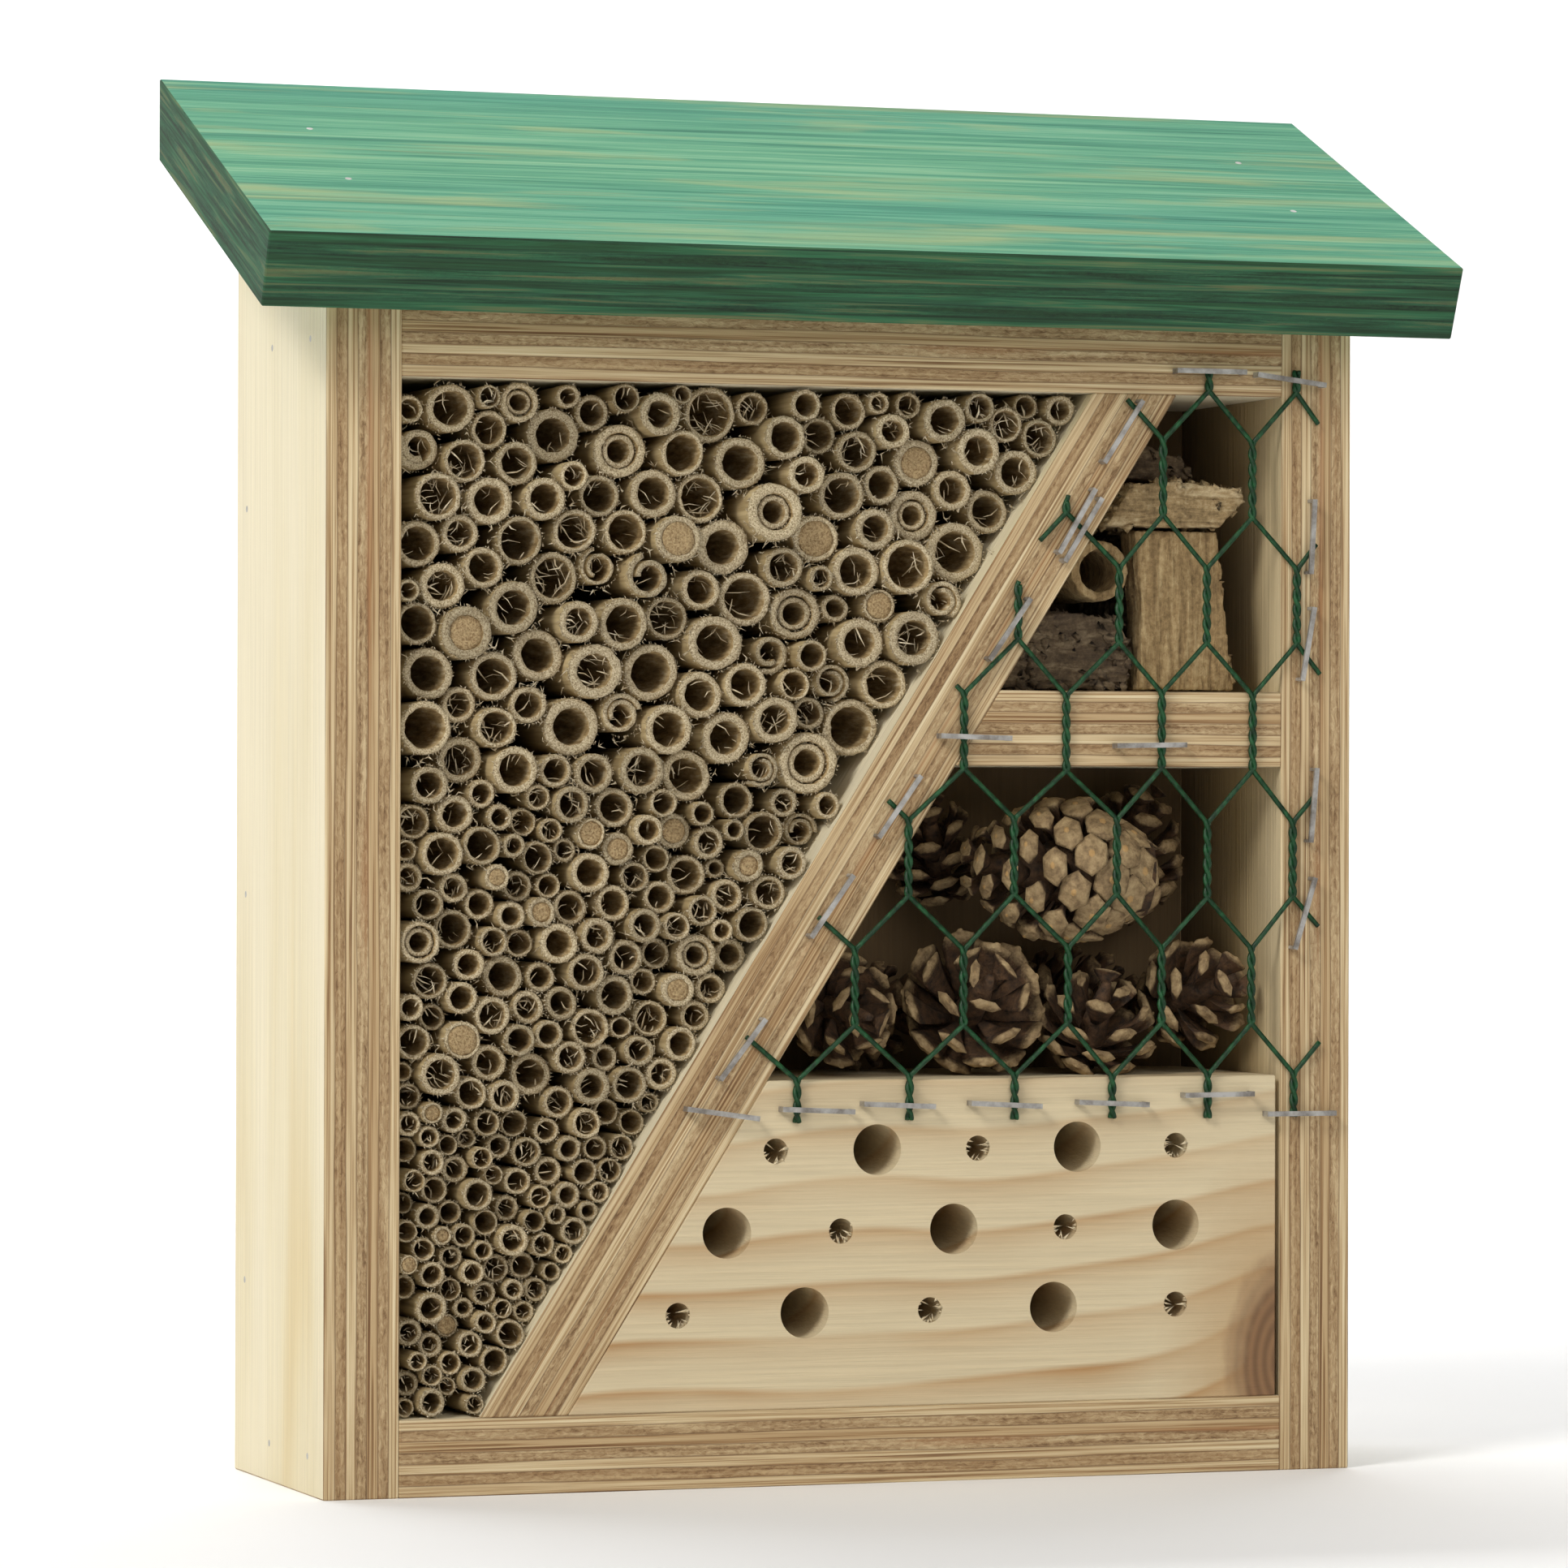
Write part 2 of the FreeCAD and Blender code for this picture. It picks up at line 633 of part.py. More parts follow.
def make_staples():
    upright = 90.0
    slant = 90.0 - math.degrees(LEAN)
    top_z = CEILING_Z + 5.3
    add_staples("top_staples", ["top_board", "right_side_panel"], [
        (column_x(0.5), top_z + 0.4, 0.0),
        (column_x(-0.5) - 1.8, top_z - 1.2, -7.0),
    ])
    along = []
    for height, aside, tilt in ((230.8, 1.6, -1.0), (209.3, 3.4, 1.5), (207.2, 6.3, 0.5), (183.0, 2.7, -3.0),
                                (141.3, 1.7, -3.5), (117.9, -0.3, -3.5), (84.5, -1.2, -6.0)):
        z = FLOOR_Z + height
        along.append((divider_x(z) + aside, z, slant + tilt))
    add_staples("divider_staples", ["diagonal_divider"], along)
    shelf_z = (SHELF_TOP + SHELF_BOTTOM) / 2 - 3.0
    add_staples("shelf_staples", ["shelf", "diagonal_divider"], [
        (column_x(3) + 2.5, shelf_z + 0.8, -1.5),
        (column_x(1) - 3.5, shelf_z - 0.9, 1.0),
    ])
    block_z = BLOCK_TOP - 6.0
    block = []
    for step, aside, drop, tilt in ((5.1, -1.0, 1.5, 8.0), (4.5, 5.0, 1.0, 2.5), (3.5, -3.0, 0.0, 2.5),
                                    (2.5, -2.8, 0.2, 3.0), (1.5, -0.8, 0.2, 2.5), (0.5, 2.4, -1.6, -0.5)):
        block.append((column_x(step) + aside, block_z - drop, -tilt))
    block.append((column_x(-0.5) + 1.2, block_z - 3.2, 0.0))
    add_staples("block_staples", ["drilled_block", "diagonal_divider", "right_side_panel"], block)
    panel_x = WIDTH / 2 - BOARD / 2 - 3.0
    add_staples("side_staples", ["right_side_panel"], [
        (panel_x + 0.9, CEILING_Z - 33.5, upright - 3.0),
        (panel_x - 0.2, CEILING_Z - 59.3, upright - 10.0),
        (panel_x + 1.3, SHELF_BOTTOM - 9.1, upright - 5.0),
        (panel_x - 0.9, SHELF_BOTTOM - 35.1, upright - 17.0),
    ])


def add_brads(node, boards, brads):
    """Headless brads in one node, with their holes cut in the boards that they join."""
    NODES[node] = Part.makeCompound(brads)
    for board in boards:
        cut_out(board, brads)


def brad_depths():
    """Two brads in the depth of a joint."""
    return (FRONT_Y + BRAD_INSET, PANEL_Y - BRAD_INSET)


def make_brads():
    box = []
    for side in (-1, 1):
        for z in (BOARD / 2, CEILING_Z + BOARD / 2):
            for y in brad_depths():
                box.append(rod(BRAD_R, BRAD_LENGTH, V(side * WIDTH / 2, y, z), V(-side, 0, 0)))
    add_brads("box_brads", ["left_side_panel", "right_side_panel", "bottom_board", "top_board"], box)

    shelf_z = (SHELF_TOP + SHELF_BOTTOM) / 2
    shelf = [rod(BRAD_R, BRAD_LENGTH, V(WIDTH / 2, y, shelf_z), V(-1, 0, 0)) for y in brad_depths()]
    add_brads("shelf_brads", ["right_side_panel", "shelf"], shelf)

    divider = []
    up = V(math.sin(LEAN), 0, math.cos(LEAN))
    for y in brad_depths():
        for z, way in ((BRAD_SUNK, up), (CEILING_Z + BOARD - BRAD_SUNK, -up)):
            divider.append(rod(BRAD_R, BRAD_LENGTH, V(divider_x(z), y, z), way))
    add_brads("divider_brads", ["bottom_board", "top_board", "diagonal_divider"], divider)

    panel = []
    for side in (-1, 1):
        for z in (FLOOR_Z + BRAD_INSET * 2, (FLOOR_Z + CEILING_Z) / 2, CEILING_Z - BRAD_INSET * 2):
            outside = V(side * WIDTH / 2, BACK_Y - BOARD / 2, z)
            panel.append(rod(BRAD_R, BRAD_LENGTH, outside, V(-side, 0, 0)))
    add_brads("back_panel_brads", ["left_side_panel", "right_side_panel", "back_panel"], panel)

    roof = []
    down = V(0, math.sin(ROOF_SLOPE), -math.cos(ROOF_SLOPE))
    for side in (-1, 1):
        for y in (FRONT_Y + BRAD_INSET, BACK_Y - BRAD_INSET - BOARD):
            top = roof_under(y) + BOARD / math.cos(ROOF_SLOPE)
            roof.append(rod(BRAD_R, BRAD_LENGTH, V(side * (WIDTH - BOARD) / 2, y, top), down))
    add_brads("roof_brads", ["roof_board", "left_side_panel", "right_side_panel"], roof)


# ---- hanger -------------------------------------------------------------------------------------
def plate_middle_z():
    return HANGER_Z + KEYHOLE_RISE / 2


def keyhole(radius, slot, start, depth):
    """A round hole with a narrow slot above it, along +Y."""
    round_part = rod(radius, depth, V(0, start, HANGER_Z), V(0, 1, 0))
    straight = Part.makeBox(slot, depth, KEYHOLE_RISE, V(-slot / 2, start, HANGER_Z))
    end = rod(slot / 2, depth, V(0, start, HANGER_Z + KEYHOLE_RISE), V(0, 1, 0))
    return round_part.fuse([straight, end]).removeSplitter()


def rounded_plate(width, height, start, depth):
    plate = Part.makeBox(width, depth, height, V(-width / 2, start, plate_middle_z() - height / 2))
    corners = [edge for edge in plate.Edges if abs(edge.tangentAt(edge.FirstParameter).y) > 0.9]
    return plate.makeFillet(3.0, corners)


def hanger_screw(z):
    """A countersunk screw whose head lies flush with the plate."""
    face = BACK_Y
    head_depth = SCREW_HEAD_R - SCREW_R
    head = Part.makeCone(SCREW_HEAD_R, SCREW_R, head_depth, V(0, face, z), V(0, -1, 0))
    shank = rod(SCREW_R, SCREW_LENGTH - head_depth, V(0, face - head_depth, z), V(0, -1, 0))
    return head.fuse(shank).removeSplitter()


def hanger_screw_hole(z):
    head_depth = SCREW_HEAD_R - SCREW_R
    face, inwards = V(0, BACK_Y, z), V(0, -1, 0)
    wide = Part.makeCone(SCREW_HEAD_R + SCREW_FIT, SCREW_R + SCREW_FIT, head_depth, face, inwards)
    return wide.fuse(rod(SCREW_R + SCREW_FIT, PLATE_THICK, face, inwards))


def make_hanger():
    plate_front = BACK_Y - PLATE_THICK
    fit = 2 * PLATE_FIT
    pocket = rounded_plate(PLATE_WIDTH + fit, PLATE_HEIGHT + fit, plate_front, PLATE_THICK)
    head_room = keyhole(HEAD_ROOM_R, 2 * HEAD_ROOM_R, BACK_Y - HEAD_ROOM_DEPTH, HEAD_ROOM_DEPTH)
    heights = [plate_middle_z() - SCREW_SPREAD, plate_middle_z() + SCREW_SPREAD]
    screws = [hanger_screw(z) for z in heights]
    plate = rounded_plate(PLATE_WIDTH, PLATE_HEIGHT, plate_front, PLATE_THICK)
    plate = plate.cut(keyhole(KEYHOLE_R, KEYHOLE_SLOT, plate_front, PLATE_THICK))
    plate = plate.cut(Part.makeCompound([hanger_screw_hole(z) for z in heights]))
    cut_out("back_panel", [pocket, head_room])
    cut_out("back_panel", screws)
    NODES["hanger_plate"] = plate
    NODES["hanger_screws"] = Part.makeCompound(screws)


# ---- the whole ----------------------------------------------------------------------------------
def make_boards():
    NODES["left_side_panel"] = side_panel(-WIDTH / 2)
    NODES["right_side_panel"] = side_panel(WIDTH / 2 - BOARD)
    NODES["bottom_board"] = level_board(0, -INNER_X, INNER_X)
    NODES["top_board"] = level_board(CEILING_Z, -INNER_X, INNER_X)
    NODES["back_panel"] = back_panel()
    NODES["roof_board"] = roof_board()
    NODES["diagonal_divider"] = diagonal_divider()
    NODES["shelf"] = beside_divider(SHELF_BOTTOM, SHELF_TOP, INNER_X, PANEL_Y)
    NODES["drilled_block"] = drilled_block()


make_boards()
make_hanger()
make_brads()
make_staples()
make_reeds()
make_bark()
make_cones()
NODES["wire_mesh"] = wire_mesh()

os.makedirs("parts", exist_ok=True)
for name, shape in NODES.items():
    shape.exportStep("parts/%s.step" % name)
    print(name, len(shape.Solids), "solids", round(shape.Volume), "mm3, valid", shape.isValid())
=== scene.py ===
"""Looks of the insect hotel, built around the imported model. Metres, +Z up, front faces -Y."""
import json
import math
import random

import bmesh
import bpy
import numpy as np
from mathutils import Matrix, Vector, noise


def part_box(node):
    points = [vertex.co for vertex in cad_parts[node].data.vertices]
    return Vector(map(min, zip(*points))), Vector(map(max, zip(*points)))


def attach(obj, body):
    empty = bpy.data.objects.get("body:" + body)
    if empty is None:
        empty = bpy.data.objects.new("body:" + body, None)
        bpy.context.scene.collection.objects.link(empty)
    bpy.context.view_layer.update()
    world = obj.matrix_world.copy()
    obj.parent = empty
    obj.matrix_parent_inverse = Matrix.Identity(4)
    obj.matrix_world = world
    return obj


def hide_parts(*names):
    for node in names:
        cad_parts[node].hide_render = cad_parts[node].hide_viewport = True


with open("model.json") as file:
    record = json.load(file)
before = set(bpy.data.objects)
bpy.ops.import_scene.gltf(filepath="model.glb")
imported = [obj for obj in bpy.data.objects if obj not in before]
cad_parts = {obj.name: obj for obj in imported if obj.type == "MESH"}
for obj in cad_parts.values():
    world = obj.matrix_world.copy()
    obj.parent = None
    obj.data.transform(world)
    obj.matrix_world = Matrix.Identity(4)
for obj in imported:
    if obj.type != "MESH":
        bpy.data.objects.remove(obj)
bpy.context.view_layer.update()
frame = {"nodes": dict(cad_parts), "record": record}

MM = 0.001

# ---- places read from the frame ----
PANEL_LOW, PANEL_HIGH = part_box("left_side_panel")
BOTTOM_LOW, BOTTOM_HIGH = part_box("bottom_board")
TOP_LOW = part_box("top_board")[0]
SHELF_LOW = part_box("shelf")[0]
BLOCK_LOW, BLOCK_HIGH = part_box("drilled_block")
DIVIDER_LOW, DIVIDER_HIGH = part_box("diagonal_divider")
FRONT_Y = PANEL_LOW.y
BOARD = BOTTOM_HIGH.z - BOTTOM_LOW.z
ROOM_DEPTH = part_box("back_panel")[0].y - FRONT_Y

# ---- facts that the frame doesn't state ----
PLIES = 7
LAYER_WANDER = 2.2 * MM
ROOF_SLOPE = math.radians(23.5)
# The small holes' radius, and the widest box that the record gives one of them.
SMALL_HOLE_RADIUS = 3.0 * MM
SMALL_HOLE_BOX = 5.0 * MM


def divider_lean():
    """The divider's lean from upright: its outline rises by its own height and reaches sideways by
    its lean plus its level thickness. Each round starts from the last round's lean."""
    rise = DIVIDER_HIGH.z - DIVIDER_LOW.z
    reach = DIVIDER_HIGH.x - DIVIDER_LOW.x
    lean = 0.5
    for _ in range(30):
        lean = math.atan((reach - BOARD / math.cos(lean)) / rise)
    return lean


LEAN = divider_lean()


def divider_x(z):
    """Where the divider's middle line is at a height."""
    foot = DIVIDER_LOW.x + BOARD / math.cos(LEAN) / 2
    return foot + (z - DIVIDER_LOW.z) * math.tan(LEAN)


# ---- node graphs ----
class Graph:
    """A short way to write a material's nodes."""

    def __init__(self, name, roughness=0.75):
        self.material = bpy.data.materials.new(name)
        self.material.use_nodes = True
        self.nodes = self.material.node_tree.nodes
        self.links = self.material.node_tree.links
        self.shader = self.nodes["Principled BSDF"]
        self.shader.inputs["Roughness"].default_value = roughness

    def join(self, value, socket):
        if isinstance(value, bpy.types.NodeSocket):
            self.links.new(value, socket)
        else:
            socket.default_value = value

    def node(self, kind, inputs=None, **settings):
        made = self.nodes.new(kind)
        for key, value in settings.items():
            setattr(made, key, value)
        for key, value in (inputs or {}).items():
            self.join(value, made.inputs[key])
        return made

    def math(self, operation, first, second=0.0, third=0.0):
        made = self.node("ShaderNodeMath", {0: first, 1: second, 2: third}, operation=operation)
        return made.outputs[0]

    def dot(self, vector, axis):
        made = self.node("ShaderNodeVectorMath", {0: vector, 1: axis}, operation="DOT_PRODUCT")
        return made.outputs["Value"]

    def place(self):
        return self.node("ShaderNodeTexCoord").outputs["Object"]

    def normal(self):
        return self.node("ShaderNodeNewGeometry").outputs["Normal"]

    def island(self):
        return self.node("ShaderNodeNewGeometry").outputs["Random Per Island"]

    def tone(self):
        return self.node("ShaderNodeAttribute", attribute_name="tone").outputs["Fac"]

    def frame_of(self, along, across, through, origin):
        """Coordinates along the grain, across it and through the board, in metres."""
        moved = self.node("ShaderNodeVectorMath", {0: self.place(), 1: origin}, operation="SUBTRACT")
        place = moved.outputs[0]
        parts = [self.dot(place, axis) for axis in (along, across, through)]
        return parts, self.node("ShaderNodeCombineXYZ", {0: parts[0], 1: parts[1], 2: parts[2]}).outputs[0]

    def noise(self, place, scales, detail=4.0, rough=0.55, distortion=0.0):
        """Noise with its own scale along each axis, in cells a metre."""
        scaled = self.node("ShaderNodeVectorMath", {0: place, 1: scales}, operation="MULTIPLY").outputs[0]
        made = self.node("ShaderNodeTexNoise", {
            "Vector": scaled, "Scale": 1.0, "Detail": detail, "Roughness": rough, "Distortion": distortion,
        })
        return made.outputs["Fac"]

    def ramp(self, value, stops):
        """A colour or a grey for each value, straight between the stops."""
        made = self.node("ShaderNodeValToRGB", {0: value})
        elements = made.color_ramp.elements
        while len(elements) < len(stops):
            elements.new(0.5)
        for element, (position, color) in zip(elements, stops):
            element.position = position
            element.color = (*color, 1.0) if isinstance(color, tuple) else (color, color, color, 1.0)
        return made.outputs["Color"]

    def mix(self, share, first, second, blend="MIX"):
        made = self.node("ShaderNodeMix", data_type="RGBA", blend_type=blend)
        self.join(share, made.inputs["Factor"])
        for value, socket in ((first, made.inputs[6]), (second, made.inputs[7])):
            self.join((*value, 1.0) if isinstance(value, tuple) else value, socket)
        return made.outputs[2]

    def times(self, color, shade):
        return self.mix(1.0, color, shade, "MULTIPLY")

    def bump(self, height, depth):
        made = self.node("ShaderNodeBump", {"Height": height, "Distance": depth, "Strength": 1.0})
        return made.outputs["Normal"]

    def done(self, color, normal=None):
        """Joins the colour and the bumps to the shader."""
        self.join(color, self.shader.inputs["Base Color"])
        if normal is not None:
            self.links.new(normal, self.shader.inputs["Normal"])
        return self.material


# ---- wood ----
def pine_face(graph, local):
    """Pale pine veneer: long soft yellow streaks and fine grain."""
    wide = graph.noise(local, (4.0, 26.0, 30.0), detail=2.0, distortion=0.5)
    streak = graph.ramp(wide, [
        (0.42, (0.81, 0.73, 0.53)), (0.58, (0.77, 0.68, 0.46)), (0.70, (0.71, 0.58, 0.33)),
    ])
    fine = graph.noise(local, (14.0, 900.0, 400.0), detail=3.0)
    shade = graph.ramp(fine, [(0.35, 0.90), (0.65, 1.0)])
    return graph.times(streak, shade), fine


def ply_edge(graph, parts, local):
    """The layers on a sawn plywood edge: long grain and end grain in turn."""
    wander = graph.noise(local, (11.0, 11.0, 60.0), detail=3.0)
    wander = graph.math("MULTIPLY_ADD", wander, LAYER_WANDER, -LAYER_WANDER / 2)
    depth = graph.math("ADD", parts[2], wander)
    layer = graph.math("MULTIPLY", depth, PLIES / BOARD)
    whole = graph.math("FLOOR", layer)
    odd = graph.math("MODULO", whole, 2.0)
    inside = graph.math("FRACT", layer)
    glue = graph.math("ABSOLUTE", graph.math("SUBTRACT", inside, 0.5))
    glue = graph.ramp(glue, [(0.40, 0.0), (0.49, 1.0)])

    long_streak = graph.noise(local, (12.0, 40.0, 1500.0), detail=4.0, rough=0.62, distortion=0.4)
    long_grain = graph.ramp(long_streak, [
        (0.32, (0.20, 0.105, 0.045)), (0.42, (0.41, 0.27, 0.13)), (0.52, (0.62, 0.48, 0.28)),
        (0.68, (0.76, 0.64, 0.41)),
    ])
    speck = graph.noise(local, (420.0, 420.0, 1300.0), detail=5.0, rough=0.7, distortion=0.8)
    streak = graph.noise(local, (22.0, 60.0, 800.0), detail=4.0, distortion=0.5)
    end_mix = graph.math("MULTIPLY_ADD", speck, 0.50, graph.math("MULTIPLY", streak, 0.50))
    end_grain = graph.ramp(end_mix, [
        (0.37, (0.19, 0.105, 0.045)), (0.47, (0.42, 0.285, 0.145)), (0.60, (0.64, 0.50, 0.295)),
    ])
    color = graph.mix(odd, long_grain, end_grain)
    chance = graph.node("ShaderNodeTexWhiteNoise", {"W": whole}, noise_dimensions="1D").outputs["Value"]
    tint = graph.ramp(chance, [(0.0, (0.78, 0.70, 0.62)), (1.0, (1.0, 1.0, 1.0))])
    color = graph.times(color, tint)
    color = graph.mix(graph.math("MULTIPLY", glue, 0.60), color, (0.15, 0.08, 0.035))
    stain = graph.noise(local, (5.0, 9.0, 260.0), detail=2.0, distortion=0.3)
    stain = graph.ramp(stain, [(0.60, 0.0), (0.70, 0.55)])
    color = graph.mix(stain, color, (0.36, 0.155, 0.055))
    rough = graph.mix(odd, graph.math("MULTIPLY", long_streak, 0.6), speck)
    return color, rough


# Painted shade on the wood inside the rooms, by its share of the way from the front to the back panel.
ROOM_PAINTED_SHADE = [(0.05, (0.86, 0.78, 0.66)), (0.45, (0.50, 0.40, 0.27)), (0.95, (0.20, 0.14, 0.085))]


def plywood(name, along, through, origin, stain=False, painted_shade_side=None):
    """A plywood board: veneer on its faces and layers on its edges. The face that is turned the way
    of the given side lines a room, and gets painted shade that darkens it more towards the back."""
    graph = Graph(name, 0.8)
    along = Vector(along).normalized()
    through = Vector(through).normalized()
    across = through.cross(along)
    parts, local = graph.frame_of(along, across, through, origin)
    facing = graph.math("ABSOLUTE", graph.dot(graph.normal(), through))
    is_face = graph.math("GREATER_THAN", facing, 0.8)
    face, face_height = pine_face(graph, local)
    edge, edge_height = ply_edge(graph, parts, local)
    if stain:
        face = stained_face(graph, local)
        edge = stained_edge(graph, edge, local)
    if painted_shade_side is not None:
        # Painted shade: the face that lines a room is darkened more towards the back panel.
        painted_shade_mask = graph.math("GREATER_THAN", graph.dot(graph.normal(), painted_shade_side), 0.5)
        depth = graph.math("SUBTRACT", graph.dot(graph.place(), (0.0, 1.0, 0.0)), FRONT_Y)
        shade = graph.ramp(graph.math("MULTIPLY", depth, 1.0 / ROOM_DEPTH), ROOM_PAINTED_SHADE)
        face = graph.mix(painted_shade_mask, face, graph.times(face, shade))
    color = graph.mix(is_face, edge, face)
    height = graph.mix(is_face, edge_height, face_height)
    return graph.done(color, graph.bump(height, 0.35 * MM))


def stained_face(graph, local):
    """Green stain on the roof: streaks along the board, paler where the grain took less."""
    streak = graph.noise(local, (7.0, 420.0, 40.0), detail=5.0, rough=0.65, distortion=0.5)
    green = graph.ramp(streak, [
        (0.30, (0.014, 0.165, 0.100)), (0.43, (0.055, 0.285, 0.175)), (0.55, (0.110, 0.375, 0.230)),
        (0.72, (0.22, 0.48, 0.30)),
    ])
    broad = graph.noise(local, (3.0, 22.0, 20.0), detail=2.0)
    shade = graph.ramp(broad, [(0.35, (0.66, 0.84, 0.86)), (0.65, (1.15, 1.0, 0.92))])
    bare = graph.noise(local, (9.0, 110.0, 30.0), detail=4.0, rough=0.6, distortion=0.4)
    bare = graph.ramp(bare, [(0.54, 0.0), (0.70, 0.62)])
    return graph.mix(bare, graph.times(green, shade), (0.36, 0.42, 0.18))


def stained_edge(graph, edge, local):
    """The same stain soaked dark into the sawn layers."""
    soak = graph.noise(local, (14.0, 25.0, 620.0), detail=4.0, rough=0.6, distortion=0.5)
    green = graph.ramp(soak, [
        (0.38, (0.002, 0.012, 0.008)), (0.46, (0.008, 0.050, 0.028)), (0.54, (0.022, 0.125, 0.066)),
        (0.64, (0.17, 0.175, 0.080)),
    ])
    return graph.mix(0.55, graph.times(edge, (0.036, 0.25, 0.125)), green)


# The block's growth bands: how far apart they are, how steeply they rise to the right and go
# through the block, how much they wave, and how high up they fade.
BAND_PITCH = 11.8 * MM
BAND_RISE = 0.055
BAND_THROUGH = 0.35
BAND_WAVE = 20 * MM
BAND_FADE = 90 * MM
# The knot: how flat it is, how far its halo reaches, and how it bends the bands round it.
KNOT_FLATTENING = 0.62
KNOT_REACH = 40 * MM
KNOT_SWELL = 22 * MM
KNOT_SWELL_FADE = 55.0


def pine_block():
    """The drilled block: wavy growth bands that rise to the right, and a knot low in the corner."""
    graph = Graph("pine_block", 0.72)
    place = graph.place()
    axes = [graph.dot(place, axis) for axis in ((1.0, 0.0, 0.0), (0.0, 1.0, 0.0), (0.0, 0.0, 1.0))]
    knot_x = BLOCK_HIGH.x + 4 * MM
    knot_z = BLOCK_LOW.z + 8 * MM
    right = graph.math("SUBTRACT", axes[0], knot_x)
    over = graph.math("MULTIPLY", graph.math("SUBTRACT", axes[2], knot_z), KNOT_FLATTENING)
    squares = [graph.math("POWER", graph.math("ABSOLUTE", part), 2.0) for part in (right, over)]
    far = graph.math("SQRT", graph.math("ADD", squares[0], squares[1]))
    nearness = graph.math("EXPONENT", graph.math("MULTIPLY", far, -KNOT_SWELL_FADE))
    swell = graph.math("MULTIPLY", nearness, -KNOT_SWELL)
    wave = graph.noise(place, (11.0, 6.0, 9.0), detail=1.0)
    level = graph.math("ADD", axes[2], graph.math("MULTIPLY", axes[0], -BAND_RISE))
    level = graph.math("ADD", level, graph.math("MULTIPLY", axes[1], BAND_THROUGH))
    level = graph.math("ADD", level, graph.math("MULTIPLY", wave, BAND_WAVE))
    level = graph.math("ADD", level, swell)
    ring = graph.math("FRACT", graph.math("MULTIPLY", level, 1.0 / BAND_PITCH))
    band = graph.ramp(ring, [(0.0, 0.0), (0.40, 0.14), (0.74, 0.60), (0.88, 1.0), (1.0, 0.0)])
    height = graph.math("MULTIPLY_ADD", axes[2], 1.0 / BAND_FADE, -0.2)
    low = graph.ramp(height, [(0.0, 1.0), (0.85, 0.45)])
    patch = graph.ramp(graph.noise(place, (14.0, 14.0, 40.0), detail=2.0), [(0.3, 0.35), (0.65, 1.0)])
    strength = graph.math("MULTIPLY", graph.math("MULTIPLY", band, low), patch)
    wood = graph.mix(strength, (0.70, 0.59, 0.385), (0.43, 0.215, 0.060))
    fine = graph.noise(place, (26.0, 300.0, 1300.0), detail=4.0, rough=0.6)
    wood = graph.times(wood, graph.ramp(fine, [(0.33, 0.88), (0.66, 1.0)]))
    wobble = graph.math("MULTIPLY", wave, 9.0)
    knot_rings = graph.math("SINE", graph.math("MULTIPLY_ADD", far, 2600.0, wobble))
    ring_share = graph.math("MULTIPLY_ADD", knot_rings, 0.5, 0.5)
    knot = graph.mix(ring_share, (0.17, 0.088, 0.038), (0.25, 0.135, 0.060))
    frayed = graph.math("MULTIPLY", graph.noise(place, (200.0, 60.0, 120.0)), 5 * MM)
    ragged = graph.math("ADD", far, frayed)
    outward = graph.math("MULTIPLY", ragged, 1.0 / KNOT_REACH)
    core = graph.ramp(outward, [(0.33, 1.0), (0.52, 0.0)])
    halo = graph.ramp(outward, [(0.45, 0.62), (0.95, 0.0)])
    wood = graph.mix(halo, wood, (0.42, 0.245, 0.095))
    wood = graph.mix(core, wood, knot)
    return graph.done(wood, graph.bump(fine, 0.22 * MM))


def board_materials():
    """One plywood material a board, because the layers follow the board."""
    lean_along = (math.sin(LEAN), 0.0, math.cos(LEAN))
    lean_through = (math.cos(LEAN), 0.0, -math.sin(LEAN))
    panel_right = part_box("right_side_panel")[0]
    roof_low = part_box("roof_board")[0]
    back_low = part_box("back_panel")[0]
    divider_face = (divider_x(DIVIDER_LOW.z) - BOARD / math.cos(LEAN) / 2, 0.0, DIVIDER_LOW.z)
    roof_rest = (0.0, FRONT_Y, roof_under_front())
    slope = (0.0, -math.sin(ROOF_SLOPE), math.cos(ROOF_SLOPE))
    upright, sideways, backward = (0, 0, 1), (1, 0, 0), (0, 1, 0)
    # The right side panel and the back panel get painted shade on the faces that line the rooms.
    return {
        "left_side_panel": plywood("ply_left", upright, sideways, tuple(PANEL_LOW)),
        "right_side_panel": plywood("ply_right", upright, sideways, tuple(panel_right), painted_shade_side=(-1, 0, 0)),
        "bottom_board": plywood("ply_bottom", sideways, upright, tuple(BOTTOM_LOW)),
        "top_board": plywood("ply_top", sideways, upright, tuple(TOP_LOW)),
        "shelf": plywood("ply_shelf", sideways, upright, tuple(SHELF_LOW)),
        "back_panel": plywood("ply_back", upright, backward, tuple(back_low), painted_shade_side=(0, -1, 0)),
        "diagonal_divider": plywood("ply_divider", lean_along, lean_through, divider_face),
        "roof_board": plywood("ply_roof", sideways, slope, (roof_low.x, *roof_rest[1:]), stain=True),
        "drilled_block": pine_block(),
    }


def roof_under_front():
    """Height of the roof's underside over the front face, from the side panel's top front corner."""
    return PANEL_HIGH.z - (PANEL_HIGH.y - PANEL_LOW.y) * math.tan(ROOF_SLOPE)


# ---- metal ----
def metal(name, dark, light, scale, roughness):
    """Zinc-coated wire or sheet with a mottled surface."""
    graph = Graph(name, roughness)
    mottle = graph.noise(graph.place(), (scale, scale, scale), detail=4.0, rough=0.65)
    graph.shader.inputs["Metallic"].default_value = 0.55
    color = graph.ramp(mottle, [(0.35, dark), (0.62, light)])
    return graph.done(color, graph.bump(mottle, 0.08 * MM))


